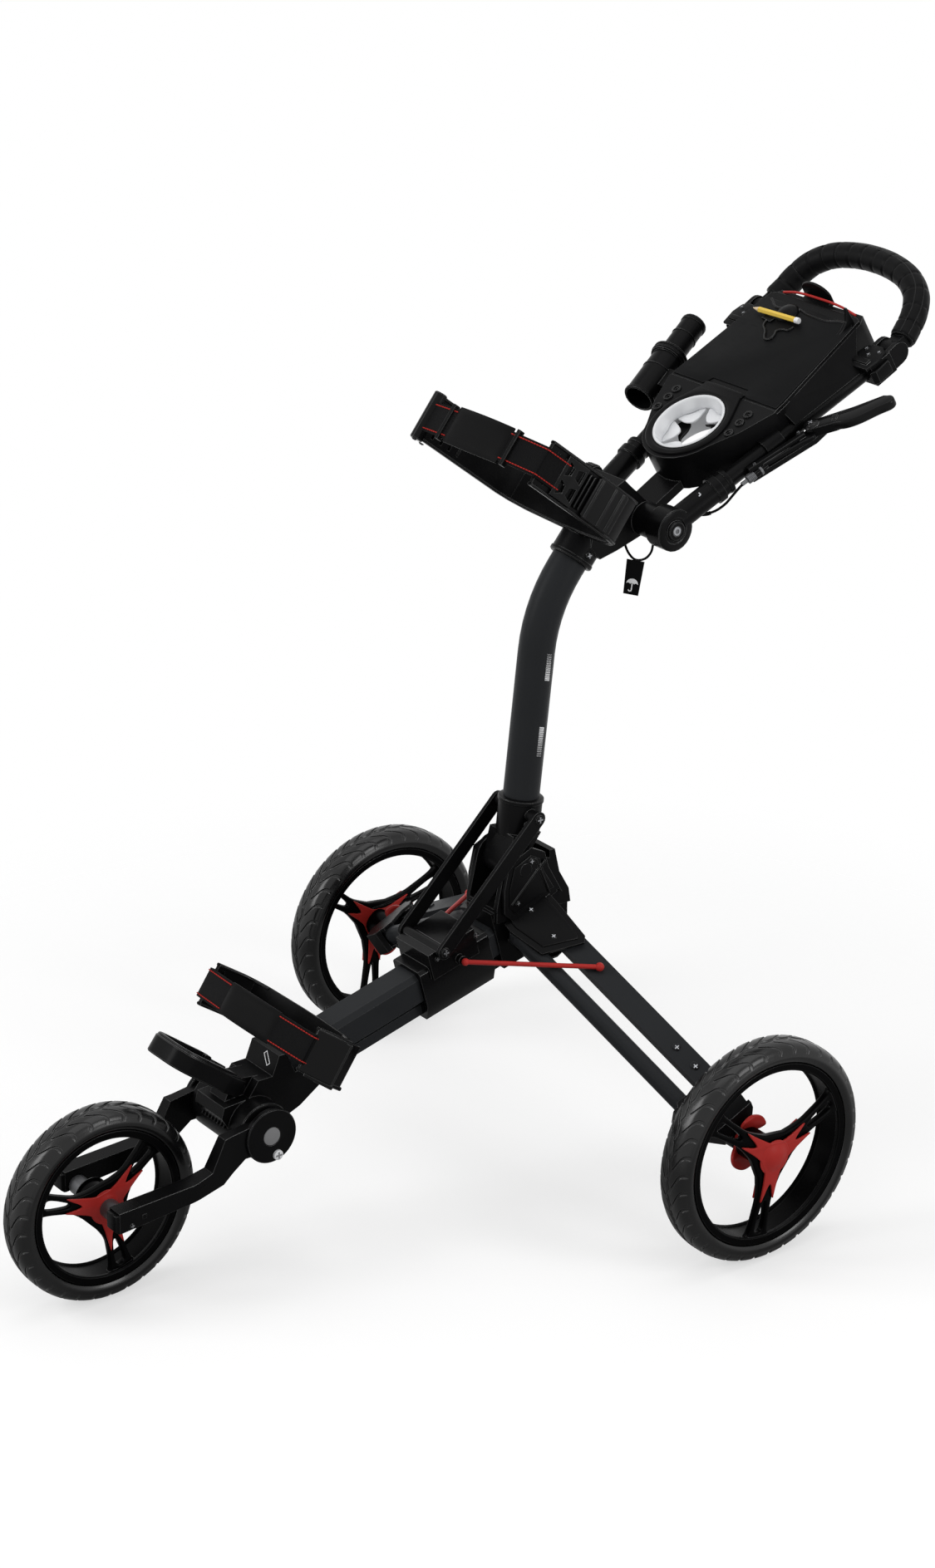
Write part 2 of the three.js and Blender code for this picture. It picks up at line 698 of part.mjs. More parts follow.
// Sprung collar behind the wheel's hub, with two ears to press.
function releaseTab() {
  const ears = [150, 235].flatMap((turn) => [
    [-16, 14],
    [-11, 34],
    [11, 34],
    [16, 14],
  ].map(([a, r]) => [r * Math.cos((turn + a) * RAD), r * Math.sin((turn + a) * RAD)]));
  const ring = ears.concat(arc(0, 0, 13, 270, 480, 8));
  const x = BRACKET_OUT + 2.3;
  const g = side(ring, x, x + TAB_T).translate(0, WHEELBASE, R_REAR);
  return cut(g, barX(x - 1, x + TAB_T + 1, { y: WHEELBASE, z: R_REAR }, AXLE_R + RUN));
}
pair("release_tab", releaseTab(), RED);

// ---------------------------------------------------------------- hub
const tubeClear = () => tubeSolid(GAP, CARRIAGE_TO - 40, TUBE_REAR + GAP);

function hubBody() {
  const p = COLUMN_PIVOT;
  const block = side(
    about(p, [
      [-22, -131],
      [50, -113],
      [75, -101],
      [75, -52],
      [-43, -52],
    ]),
    -HUB_HALF,
    HUB_HALF,
  );
  const cheek = (s) =>
    side(
      about(p, [
        [-38, -64],
        [75, -64],
        [72, -45],
        [46, 1],
        ...arc(0, 0, 27, 20, 170, 8),
        [-38, -45],
      ]),
      ...onSide(s, YOKE_HALF + RUN, CHEEK_OUT),
    );
  const wide = (points) => side(about(p, points), -CHEEK_OUT, CHEEK_OUT);
  const floor = wide([[-38, -64], [75, -64], [72, -47], [-38, -47]]);
  const stop = wide([[42, -57], [62, -57], [60, -31], [50, 13], [42, 13]]);
  const under = LEG_ROD_R + RUN;
  const wingTop = [[-58, -52], [14, -50], [24, -20], [20, 16], [-58, 16]];
  const wing = plate(wingTop, -under - CLEVIS_T, -under).applyMatrix4(LEG);
  const pin = barX(-CHEEK_OUT + 1, CHEEK_OUT - 1, p, FORK_PIN_R, 20);
  const leftWing = overlap(wing, box(10, 200, p.y - 90, p.y + 110, p.z - 197, p.z + 3));
  const rightWing = toGeometry(toSolid(leftWing).scale([-1, 1, 1]));
  const body = join(block, cheek(1), cheek(-1), floor, stop, pin, leftWing, rightWing);
  const eyeRoom = pinAt(hubPivots[1], -under, 40, ROD_EYE_R + RUN, 20).applyMatrix4(LEG);
  const eyeRoomRight = toGeometry(toSolid(eyeRoom).scale([-1, 1, 1]));
  return cut(body, tubeClear(), eyeRoom, eyeRoomRight);
}
piece(cart, "hub_body", hubBody(), PLASTIC());

// Faceted cover on each side of the hub, which carries the pivots of both bars.
function hubCover() {
  const inner = CHEEK_OUT + GAP;
  const over = LEG_ROD_R + RUN;
  const upright = side(
    about(COLUMN_PIVOT, [
      [-31, -51],
      [-19, -63],
      [37, -41],
      [52, -39],
      [58, -45],
      [36, -5],
      [30, 16],
      [9, 27],
      [-23, 13],
      [-31, -21],
    ]),
    inner,
    inner + COVER_T,
  );
  const skirtOutline = about(COLUMN_PIVOT, [[-19, -110], [52, -110], [52, -39], [37, -41], [-19, -63]]);
  const skirt = side(skirtOutline, inner, inner + COVER_T);
  const overBars = plate([[-60, -60], [60, -60], [60, 30], [-60, 30]], over, over + 60);
  const tilted = plate(
    [
      [-53, -43],
      [-47.5, -50],
      [-28, -52],
      [20, -43],
      [41.5, 6.7],
      [35.4, 13.5],
      [-16, 18],
      [-44, 19],
      [-53, 10],
    ],
    over,
    over + CLEVIS_T,
  );
  const pins = hubPivots.map((q) => pinAt(q, -over + GAP, over + 1, PIN_R));
  const { y, z } = COLUMN_PIVOT;
  const outside = box(inner, TRACK / 2, y - 190, y + 190, z - 197, z + 103);
  const plateOut = overlap(tilted.applyMatrix4(LEG), outside);
  const posts = pins.map((g) => g.applyMatrix4(LEG));
  const cap = barX(inner + COVER_T - 1, inner + COVER_T + 2, COLUMN_PIVOT, 9, 16);
  return join(upright, overlap(skirt, overBars.applyMatrix4(LEG)), plateOut, ...posts, cap);
}
pair("hub_cover", hubCover(), PLASTIC);

// ---------------------------------------------------------------- carriage, struts and push rods
function carriage() {
  const low = -TUBE_H - RAIL_DROP - RAIL_H - 6;
  const shell = alongTube(
    [
      [CARRIAGE_OUT - 4, 6],
      [CARRIAGE_OUT, 2],
      [CARRIAGE_OUT, -TUBE_H - 4],
      [RAIL_W / 2 + 6, low],
      [-RAIL_W / 2 - 6, low],
      [-CARRIAGE_OUT, -TUBE_H - 4],
      [-CARRIAGE_OUT, 2],
      [-CARRIAGE_OUT + 4, 6],
    ],
    CARRIAGE_FROM,
    CARRIAGE_TO,
  );
  const hump = box(-HUMP_OUT, HUMP_OUT, CARRIAGE_FROM + 15, CARRIAGE_FROM + 85, -10, 26).applyMatrix4(TUBE);
  const [, rodY, rodZ] = ROD_ROOT;
  const lug = (s) => bar([s * (CARRIAGE_OUT - 2), rodY, rodZ], [s * LUG_END, rodY, rodZ], 6, 14);
  const boss = barX(-STRUT_IN + 1, STRUT_IN - 1, STRUT_FOOT, 7, 16);
  const through = tubeSolid(RUN, CARRIAGE_FROM - 5, CARRIAGE_TO + 5);
  piece(cart, "carriage", cut(join(shell, hump, lug(1), lug(-1), boss), through), PLASTIC());
}
carriage();

function strut() {
  const a = new THREE.Vector2(STRUT_FOOT.y, STRUT_FOOT.z);
  const b = new THREE.Vector2(STRUT_TOP.y, STRUT_TOP.z);
  const slope = Math.atan2(b.y - a.y, b.x - a.x) / RAD;
  const r = STRUT_W / 2;
  const outline = [
    ...arc(a.x, a.y, r, slope + 90, slope + 270, 8),
    ...arc(b.x, b.y, r, slope - 90, slope + 90, 8),
  ];
  const plateOut = side(outline, STRUT_IN, STRUT_IN + STRUT_T);
  const heads = [STRUT_TOP, STRUT_FOOT].map((p) => barX(STRUT_IN + 1, STRUT_IN + STRUT_T + 2, p, 6, 14));
  return join(plateOut, ...heads);
}
pair("strut", strut(), PLASTIC);

// From a ball on the carriage's lug to the leg's main bar, which it passes over with no pivot.
function pushRod() {
  const low = barHalf + ROD_LIFT;
  const top = new THREE.Vector3(ROD_ON_BAR, 0, low + ROD_R).applyMatrix4(LEG);
  const rod = bar(ROD_ROOT, top.toArray(), ROD_R, 12);
  const ball = new THREE.SphereGeometry(ROD_ROOT[0] - LUG_END - GAP, 14, 8).translate(...ROD_ROOT);
  const eye = bar([ROD_ON_BAR, 0, low], [ROD_ON_BAR, 0, low + 2 * ROD_R], ROD_R + 1.5, 12);
  return join(rod, ball, eye.applyMatrix4(LEG));
}
pair("push_rod", pushRod(), RED);

// ---------------------------------------------------------------- column
// Points (y, z) of the column's centre line.
function columnLine() {
  const lean = (a) => [Math.sin(a * RAD), Math.cos(a * RAD)];
  const [fy, fz] = lean(COLUMN_LEAN);
  const bend = { y: COLUMN_FOOT.y + fy * COLUMN_STRAIGHT, z: COLUMN_FOOT.z + fz * COLUMN_STRAIGHT };
  const centre = { y: bend.y + COLUMN_BEND_R * fz, z: bend.z - COLUMN_BEND_R * fy };
  const parts = 7;
  const bends = arc(centre.y, centre.z, COLUMN_BEND_R, 180 - COLUMN_LEAN, 180 - COLUMN_TOP_LEAN, parts);
  const [ty, tz] = lean(COLUMN_TOP_LEAN);
  const last = bends[bends.length - 1];
  return {
    foot: [COLUMN_FOOT.y, COLUMN_FOOT.z],
    footDir: [fy, fz],
    bends,
    last,
    topDir: [ty, tz],
    top: [last[0] + ty * COLUMN_TOP, last[1] + tz * COLUMN_TOP],
  };
}
const LINE = columnLine();

// Point at a distance along a straight of the column.
const onLine = (from, dir, d) => [0, from[0] + dir[0] * d, from[1] + dir[1] * d];

function column() {
  const section = circle(0, 0, COLUMN_R, 16);
  const hole = circle(0, 0, COLUMN_R - COLUMN_WALL, 16);
  const start = onLine(LINE.foot, LINE.footDir, COLUMN_SUNK);
  const points = [start, ...LINE.bends.map(([y, z]) => [0, y, z]), [0, ...LINE.top]].map(xyz);
  const rings = points.map((p, i) => {
    const before = points[Math.max(i - 1, 0)];
    const after = points[Math.min(i + 1, points.length - 1)];
    const dir = after.clone().sub(before).normalize();
    return { p, dir };
  });
  return ringTube(rings, section, hole);
}

// Tube skinned through rings, each a point with a direction in the Y-Z plane.
function ringTube(rings, section, hole) {
  const place = ({ p, dir }, [a, b]) => [p.x + a, p.y - dir.z * b, p.z + dir.y * b];
  const n = section.length;
  const loops = rings.flatMap((ring) => [section, hole].map((s) => s.map((q) => place(ring, q))));
  const position = loops.flat().flat();
  const at = (ring, layer, i) => (ring * 2 + layer) * n + (i % n);
  const index = [];
  const quad = (a, b, c, d) => index.push(a, b, c, a, c, d);
  for (let r = 0; r < rings.length - 1; r += 1) {
    for (let i = 0; i < n; i += 1) {
      quad(at(r, 0, i), at(r + 1, 0, i), at(r + 1, 0, i + 1), at(r, 0, i + 1));
      quad(at(r, 1, i), at(r, 1, i + 1), at(r + 1, 1, i + 1), at(r + 1, 1, i));
    }
  }
  const end = rings.length - 1;
  for (let i = 0; i < n; i += 1) {
    quad(at(0, 0, i), at(0, 0, i + 1), at(0, 1, i + 1), at(0, 1, i));
    quad(at(end, 0, i), at(end, 1, i), at(end, 1, i + 1), at(end, 0, i + 1));
  }
  const g = new THREE.BufferGeometry();
  g.setAttribute("position", new THREE.Float32BufferAttribute(position, 3));
  g.setIndex(index);
  g.computeVertexNormals();
  return g;
}
piece(cart, "column", column(), CHARCOAL());

function columnBase() {
  const p = COLUMN_PIVOT;
  const at = (d) => onLine(LINE.foot, LINE.footDir, d);
  const r = COLUMN_R + SLEEVE_WALL;
  const yokeOutline = about(p, [...arc(0, 0, YOKE_R, 150, 400, 14), [34, 37], [-8, 41]]);
  const yoke = side(yokeOutline, -YOKE_HALF, YOKE_HALF);
  const sleeve = bar(at(5), at(52), r, 24);
  const bosses = barX(-STRUT_IN + RUN, STRUT_IN - RUN, STRUT_TOP, 8, 16);
  const room = bar(at(COLUMN_SUNK - GAP), at(80), COLUMN_R + GAP + 0.3, 20);
  const pin = barX(-80, 80, p, FORK_PIN_R + RUN, 20);
  piece(cart, "column_base", cut(join(yoke, sleeve, bosses), room, pin), PLASTIC());
}
columnBase();

function columnHead() {
  const h = HINGE;
  const r = COLUMN_R + SLEEVE_WALL;
  const from = (d) => onLine(LINE.last, LINE.topDir, d);
  const sleeve = bar(from(11), from(64), r, 24);
  const web = side(
    [
      ...about({ y: LINE.top[0], z: LINE.top[1] }, [[-5, 2], [9, -15]]),
      ...about(h, [[-42, -32], [-4, -20], [12, -14], [16, 8], [4, 20]]),
      ...about(UPPER_CRADLE, [[63, 16], [53, 26], [35, 18], [23, 12], [11, -4]]),
    ],
    -28,
    28,
  );
  const barrel = barX(-KNUCKLE_IN + RUN, KNUCKLE_IN - RUN, h, BARREL_R, 24);
  const room = bar(from(-5), from(COLUMN_TOP + GAP), COLUMN_R + GAP + 0.3, 20);
  const back = -UPPER_BACK - CRADLE_T / 2 - GAP;
  const seat = box(-200, 200, back, 100, -UPPER_BAND / 2 - GAP, UPPER_BAND / 2 + GAP).applyMatrix4(UPPER);
  const pin = barX(-80, 80, h, HINGE_PIN_R + RUN);
  piece(cart, "column_head", cut(join(sleeve, web, barrel), room, seat, pin), PLASTIC());
}
columnHead();

function upperParts() {
  const slots = [0, 1, 2, 3].map((i) => UPPER_ARM - 16 - i * 15);
  const shell = cradle(UPPER_W, UPPER_BACK, UPPER_ARM, UPPER_BAND, slots);
  piece(cart, "upper_cradle", shell.applyMatrix4(UPPER), PLASTIC());
  piece(cart, "upper_strap", strap(UPPER_W, UPPER_ARM, 76, 62).applyMatrix4(UPPER), WEBBING());
}
upperParts();

// Ribbed knob on the right of the column head.
function knob() {
  const at = { y: UPPER_CRADLE.y + 55, z: UPPER_CRADLE.z + 16 };
  const parts = 16;
  const ribbed = Array.from({ length: parts }, (_, i) => {
    const a = (i * 2 * Math.PI) / parts;
    const r = i % 2 ? 10 : 12;
    return [at.y + r * Math.cos(a), at.z + r * Math.sin(a)];
  });
  piece(cart, "cradle_knob", join(side(ribbed, -48, -31), barX(-32, -28 - GAP, at, 6)), PLASTIC());
}
knob();

// ---------------------------------------------------------------- handle
const handleUp = [0, Math.cos(HANDLE_ANGLE * RAD), Math.sin(HANDLE_ANGLE * RAD)];
// Frame of the handle: x across, y up along it, z normal to the tubes' plane.
const HANDLE = frame([0, HINGE.y, HINGE.z], [1, 0, 0], handleUp);
const tubeX = (s) => HANDLE_ROOT_X + s * Math.tan(HANDLE_SPREAD * RAD);
const onTube = (s, t = 0) => [tubeX(s), s, t];

function handleTube() {
  const root = bar([KNUCKLE_IN, 0, 0], [KNUCKLE_OUT, 0, 0], KNUCKLE_R, 24);
  const sleeve = bar(onTube(16), onTube(SLEEVE_END), SLEEVE_R, 16);
  const ring = bar(onTube(70), onTube(80), SLEEVE_R + 2.5, 16);
  const tube = bar(onTube(SLEEVE_END - 10), onTube(HANDLE_L), HANDLE_TUBE_R, 16);
  const pin = bar([0, 0, 0], [100, 0, 0], HINGE_PIN_R + GAP);
  const room = box(0, KNUCKLE_IN, -60, 60, -60, 60);
  return cut(join(root, sleeve, ring, tube), pin, room).applyMatrix4(HANDLE);
}
pair("handle_tube", handleTube(), CHARCOAL);

function handleBolt() {
  const out = KNUCKLE_OUT + GAP;
  const head = (s) => barX(s * out, s * (out + 3), HINGE, 11, 16);
  const shaft = barX(-out - 1, out + 1, HINGE, HINGE_PIN_R);
  piece(cart, "handle_pivot_bolt", join(shaft, head(1), head(-1)), STEEL());
}
handleBolt();

// Right half of the console's outline, from its foot to its head.
const CONSOLE_HALF = [
  ...arc(0, CUP_AT, 62, -90, -20, 5),
  [80, CUP_AT + 12],
  [98, LID_FROM - 4],
  [98, LID_FROM + 14],
  [82, LID_TO - 4],
  [74, LID_TO + 8],
];
const consoleOutline = CONSOLE_HALF.concat(mirrored(CONSOLE_HALF.slice(1)));

function consoleBody() {
  const tray = plate(consoleOutline, TRAY_LOW, DECK);
  const behindLid = box(-120, 120, 0, LID_FROM - GAP, 0, 60);
  const deck = overlap(plate(consoleOutline, DECK - 1, DECK + DECK_T), behindLid);
  const ring = plate(circle(0, CUP_AT, CUP_R + 9, 32), DECK, DECK + DECK_T + 3);
  const stay = plate([[-22, 0], [22, 0], [22, 74], [-22, 74]], TRAY_LOW, TRAY_LOW + 12);
  const solid = join(tray, deck, ring, stay);
  const room = [
    [78, LID_FROM + 16],
    [68, LID_TO - 12],
  ];
  const well = plate(room.concat(mirrored(room)), TRAY_LOW + 4, DECK + 10);
  const cup = plate(circle(0, CUP_AT, CUP_R, 32), TRAY_LOW - 1, DECK + 20);
  const grooves = [1, -1].map((s) => {
    const [a, b] = [onTube(-20), onTube(HANDLE_L + 30)].map(([x, y, z]) => [s * x, y, z]);
    return bar(a, b, HANDLE_TUBE_R + GAP, 16);
  });
  const sleeves = [1, -1].map((s) => {
    const [a, b] = [onTube(0), onTube(SLEEVE_END + 2)].map(([x, y, z]) => [s * x, y, z]);
    return bar(a, b, SLEEVE_R + 3, 12);
  });
  const tee = (x, s) => bar([x, s, DECK - 12], [x, s, 60], 2.5, 8);
  const tees = [131, 150, 165].flatMap((s) => [tee(67, s), tee(-67, s)]);
  const hinge = bar([-60, 0, 0], [60, 0, 0], BARREL_R + RUN + 0.3, 24);
  return cut(solid, well, cup, ...grooves, ...sleeves, ...tees, hinge).applyMatrix4(HANDLE);
}
piece(cart, "console_body", consoleBody(), PLASTIC());

function consoleLid() {
  const inside = (s) => Math.min(Math.max(s, LID_FROM), LID_TO);
  const half = CONSOLE_HALF.slice(-4).map(([x, s]) => [x - 1, inside(s)]);
  const top = plate(half.concat(mirrored(half)), DECK + GAP, DECK + DECK_T);
  const notch = box(-14, 14, LID_FROM - 1, LID_FROM + 7, DECK - 5, DECK + 20);
  return cut(top, notch).applyMatrix4(HANDLE);
}
piece(cart, "console_lid", consoleLid(), PLASTIC());

// White liner of the cup holder, with flaps that grip a cup.
function cupLiner() {
  const r = CUP_R - GAP;
  const hole = circle(0, CUP_AT, r - CUP_WALL, 32);
  const ring = plate(circle(0, CUP_AT, r, 32), TRAY_LOW + 4, DECK + DECK_T, [hole]);
  const flap = (turn) =>
    plate(
      [
        [r - CUP_WALL + 1, -12],
        [r - CUP_WALL + 1, 12],
        [26, 5],
        [19, -3],
      ],
      DECK - 16,
      DECK - 12,
    )
      .rotateZ(turn * RAD)
      .translate(0, CUP_AT, 0);
  const flaps = [20, 80, 140, 200, 260, 320].map(flap);
  return join(ring, ...flaps).applyMatrix4(HANDLE);
}
piece(cart, "cup_liner", cupLiner(), WHITE());

function pencil() {
  const t = DECK + DECK_T + GAP + 3.5;
  const shaft = bar([-62, 319, t], [10, 321, t], 3.5, 6);
  const tip = bar([-74, 318.6, t], [-61, 319, t], 0.8, 6, 3.5);
  piece(cart, "pencil", join(shaft, tip).applyMatrix4(HANDLE), YELLOW());
}
pencil();

function umbrellaHolder() {
  const low = [-124, 142, 24];
  const high = [-160, 278, 24];
  const at = (k) => low.map((v, i) => v + (high[i] - v) * k);
  const body = bar(at(0), at(0.56), UMBRELLA_R, 20);
  const collar = bar(at(0.5), at(0.58), UMBRELLA_R + 3, 20);
  const neck = bar(at(0.5), at(1), UMBRELLA_R - 4, 20);
  const arm = box(-118, -98 - GAP, 168, 196, 14, 30);
  const hole = bar(at(-0.05), at(1.05), UMBRELLA_R - 4 - UMBRELLA_WALL, 20);
  const wide = bar(at(-0.05), at(0.5), UMBRELLA_R - UMBRELLA_WALL, 20);
  const local = cut(join(body, collar, neck, arm), hole, wide);
  const beside = plate(consoleOutline, TRAY_LOW - GAP, DECK + DECK_T + GAP);
  return cut(local, beside, box(-98 - GAP, 0, 100, 300, 0, 60)).applyMatrix4(HANDLE);
}
piece(cart, "umbrella_holder", umbrellaHolder(), PLASTIC());

// ---------------------------------------------------------------- brake
const LEVER_PIVOT = [126, 204];

function brakeBracket() {
  const clamp = bar(onTube(150), onTube(176), HANDLE_TUBE_R + 4, 16);
  const shelfTop = [[96, 112], [106, 112], [134, 196], [134, 214], [116, 216], [100, 176], [94, 130]];
  const shelf = plate(shelfTop, -12, -5);
  const barrel = bar([103, 108, -5], [108, 136, -5], 5, 12);
  const pin = bar([...LEVER_PIVOT, -6], [...LEVER_PIVOT, 12], 3, 12);
  const head = bar([...LEVER_PIVOT, 8.5], [...LEVER_PIVOT, 11], 6, 14);
  const solid = join(clamp, shelf, barrel, pin, head);
  const tube = bar(onTube(0), onTube(HANDLE_L), HANDLE_TUBE_R + GAP, 16);
  const beside = plate(consoleOutline, TRAY_LOW - GAP, DECK + DECK_T + GAP);
  return cut(solid, tube, beside);
}
piece(cart, "brake_bracket", brakeBracket().applyMatrix4(HANDLE), PLASTIC());

function brakeLever() {
  const [x, s] = LEVER_PIVOT;
  const outline = [
    ...arc(x, s, 9, 150, 290, 5),
    [x + 26, s + 14],
    [x + 52, s + 50],
    ...arc(x + 57, s + 70, 7, -30, 130, 4),
    [x + 30, s + 46],
    [x + 8, s + 22],
  ];
  const hole = bar([x, s, -30], [x, s, 30], 3 + RUN, 12);
  return cut(plate(outline, -5 + RUN, 8), hole).applyMatrix4(HANDLE);
}
piece(cart, "brake_lever", brakeLever(), PLASTIC());

function brakeCable() {
  const points = [
    [102.5, 107, -5],
    [100, 96, -7],
    [96, 84, -12],
    [92, 72, -17],
    [86, 60, -19.5],
    [80, 50, -18.5],
  ];
  return sweep(points, circle(0, 0, CABLE_R, 8), 12).applyMatrix4(HANDLE);
}
piece(cart, "brake_cable", brakeCable(), RUBBER());

// ---------------------------------------------------------------- grip
function gripClamp() {
  const x = tubeX(GRIP_PIVOT);
  const [from, to] = [HANDLE_L - 28, HANDLE_L + 4];
  const sleeve = plate([[x - 18, from], [x + 16, from], [x + 18, to], [x - 18, to]], -14, 14);
  const cheek = (inner) => bar([x + inner, GRIP_PIVOT, 0], [x + inner + 6, GRIP_PIVOT, 0], 14, 16);
  const arm = (inner) => box(x + inner, x + inner + 6, HANDLE_L - 4, GRIP_PIVOT, -14, 14);
  const pin = bar([x - 13, GRIP_PIVOT, 0], [x + 13, GRIP_PIVOT, 0], PIN_R, 14);
  const nut = bar([x - 2, HANDLE_L - 12, -19], [x - 2, HANDLE_L - 12, -12], 7, 6);
  const tube = bar(onTube(0), onTube(HANDLE_L + GAP), HANDLE_TUBE_R + GAP, 16);
  return cut(join(sleeve, cheek(-16), cheek(10), arm(-16), arm(10), pin, nut), tube).applyMatrix4(HANDLE);
}
pair("grip_clamp", gripClamp(), PLASTIC);

function grip() {
  const x = tubeX(GRIP_PIVOT);
  const half = [
    [0, GRIP_PIVOT + 104, 27],
    [34, GRIP_PIVOT + 102, 26],
    [68, GRIP_PIVOT + 94, 23],
    [94, GRIP_PIVOT + 78, 17],
    [x - 9, GRIP_PIVOT + 56, 9],
    [x - 4, GRIP_PIVOT + 36, 3],
    [x, GRIP_PIVOT + 20, 0],
  ];
  const line = half.map(([a, b, c]) => [-a, b, c]).reverse();
  const loop = sweep(line.concat(half.slice(1)), circle(0, 0, GRIP_R, 12), 22);
  const eye = (s) => bar([s * (x - 9.5), GRIP_PIVOT, 0], [s * (x + 9.5), GRIP_PIVOT, 0], 12, 16);
  const neck = (s) => box(...onSide(s, x - 8, x + 8), GRIP_PIVOT, GRIP_PIVOT + 24, -9, 9);
  const hole = (s) => bar([s * (x - 20), GRIP_PIVOT, 0], [s * (x + 20), GRIP_PIVOT, 0], PIN_R + RUN, 14);
  return cut(join(loop, eye(1), eye(-1), neck(1), neck(-1)), hole(1), hole(-1)).applyMatrix4(HANDLE);
}
piece(cart, "grip", grip(), RUBBER());

// Elastic cord across the console's head, which holds a score card.
function cardElastic() {
  const points = [
    [-66, LID_TO + 4, DECK + 2],
    [-40, LID_TO + 5, DECK + 8],
    [0, LID_TO + 5, DECK + 10],
    [40, LID_TO + 5, DECK + 8],
    [66, LID_TO + 4, DECK + 2],
  ];
  return sweep(points, circle(0, 0, CABLE_R, 8), 12).applyMatrix4(HANDLE);
}
piece(cart, "card_elastic", cardElastic(), RED());

// ---------------------------------------------------------------- tag and cable
function tag() {
  const y = HINGE.y - TAG_SET;
  const seat = HINGE.z - Math.sqrt(BARREL_R ** 2 - (TAG_SET - TAG_CORD_R) ** 2) - GAP;
  const cord = [
    [-6, y, seat - 1],
    [-4, y, seat - 14],
    [4, y, seat - 27],
    [18, y, seat - 33],
    [36, y, seat - 27],
    [48, y, seat - 15],
    [52, y, seat - 0.4],
  ];
  piece(cart, "tag_cord", sweep(cord, circle(0, 0, TAG_CORD_R, 8), 14), RUBBER());
  const top = seat - 33 - TAG_CORD_R - GAP;
  piece(cart, "tag", box(4, 26, y - TAG_T / 2, y + TAG_T / 2, top - TAG_L, top), RUBBER());
}
tag();

// Brake cable of the left leg: it hangs under the second bar and enters it halfway out.
function legCable() {
  const [u, v] = hubPivots[1];
  const near = LEG_ROD_R + CABLE_R + GAP;
  const under = (out, slack) => [u + out, v, -near - slack];
  const points = [
    under(46, 0),
    under(74, 8),
    under(110, CABLE_SLACK),
    under(146, 8),
    under(174, 0),
  ];
  return sweep(points, circle(0, 0, CABLE_R, 8), 14).applyMatrix4(LEG);
}
piece(cart, "leg_cable", legCable(), RUBBER());

// ---------------------------------------------------------------- place
const bounds = new THREE.Box3().setFromObject(cart);
cart.position.y = -(bounds.min.y + bounds.max.y) / 2;

export default cart;
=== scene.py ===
# %% [markdown]
# # A golf push cart, from its working model to its looks
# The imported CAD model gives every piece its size, its place and its joints. This lesson gives the pieces
# their looks: moulded plastics, painted tubes, foam tyres with tread, sewn straps, and the small things that
# the eye looks for. Everything is in metres. Each helper below is defined where it is first needed.

# %% Load the working model
import json
import math

import bmesh
import bpy
from mathutils import Matrix, Vector

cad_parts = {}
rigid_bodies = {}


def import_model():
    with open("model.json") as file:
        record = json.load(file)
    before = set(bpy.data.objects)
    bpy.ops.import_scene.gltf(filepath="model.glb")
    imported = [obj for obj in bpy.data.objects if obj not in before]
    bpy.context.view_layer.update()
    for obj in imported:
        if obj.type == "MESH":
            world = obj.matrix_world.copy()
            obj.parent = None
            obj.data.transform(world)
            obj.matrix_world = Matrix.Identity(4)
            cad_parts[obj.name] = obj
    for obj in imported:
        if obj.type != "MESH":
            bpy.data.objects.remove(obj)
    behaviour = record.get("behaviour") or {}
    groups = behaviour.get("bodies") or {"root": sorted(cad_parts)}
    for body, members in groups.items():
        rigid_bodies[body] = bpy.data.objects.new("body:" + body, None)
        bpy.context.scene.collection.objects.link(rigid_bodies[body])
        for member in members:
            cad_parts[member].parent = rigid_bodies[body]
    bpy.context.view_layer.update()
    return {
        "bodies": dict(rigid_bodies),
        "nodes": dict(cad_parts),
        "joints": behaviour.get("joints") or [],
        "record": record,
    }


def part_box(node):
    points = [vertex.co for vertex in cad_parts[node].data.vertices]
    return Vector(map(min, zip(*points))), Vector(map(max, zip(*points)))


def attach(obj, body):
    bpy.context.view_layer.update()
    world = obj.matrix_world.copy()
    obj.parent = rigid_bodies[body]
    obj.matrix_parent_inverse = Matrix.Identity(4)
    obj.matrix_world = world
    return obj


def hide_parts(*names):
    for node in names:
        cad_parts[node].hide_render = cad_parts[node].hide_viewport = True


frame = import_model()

nodes = frame["nodes"]

# %% [markdown]
# ## Places on the cart
# The cart was laid out from the front axle, in millimetres, so a few small functions turn such a place into
# metres in the model's frame: one for the cart, one for the slanted handle, one for the bag's slanted
# cradles, one for a leg.

# %% Functions for places
axle_low, axle_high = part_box("front_axle")
AXLE_Y = (axle_low.y + axle_high.y) / 2


def on_cart(x, y, z):
    """A place in mm from the floor under the front axle."""
    return Vector((x / 1000, y / 1000 + AXLE_Y, z / 1000))


def turned_frame(origin, ex, ey):
    """A 4x4 from mm in a turned frame to metres: its x and y directions, and their cross product."""
    ex = Vector(ex).normalized()
    ey = Vector(ey).normalized()
    ez = ex.cross(ey)
    turn = Matrix((ex, ey, ez)).transposed().to_4x4()
    return Matrix.Translation(on_cart(*origin)) @ turn @ Matrix.Scale(0.001, 4)


def side_on(x, y, z):
    """A frame seen from the left: its x runs back along the cart, its y up and its z out to the left."""
    return turned_frame((x, y, z), (0, 1, 0), (0, 0, 1))


def leaning(angle, ex=(1, 0, 0), out=1):
    """The x and y directions of a frame that leans back by an angle."""
    return ex, (0, out * math.cos(math.radians(angle)), math.sin(math.radians(angle)))


HANDLE = turned_frame((0, 774, 806), *leaning(30))
UPPER = turned_frame((0, 689, 834), *leaning(38, (-1, 0, 0), -1))
LOWER = turned_frame((0, 275, 258), *leaning(35, (-1, 0, 0), -1))
CART = turned_frame((0, 0, 0), (1, 0, 0), (0, 1, 0))
SIDE = side_on(0, 0, 0)

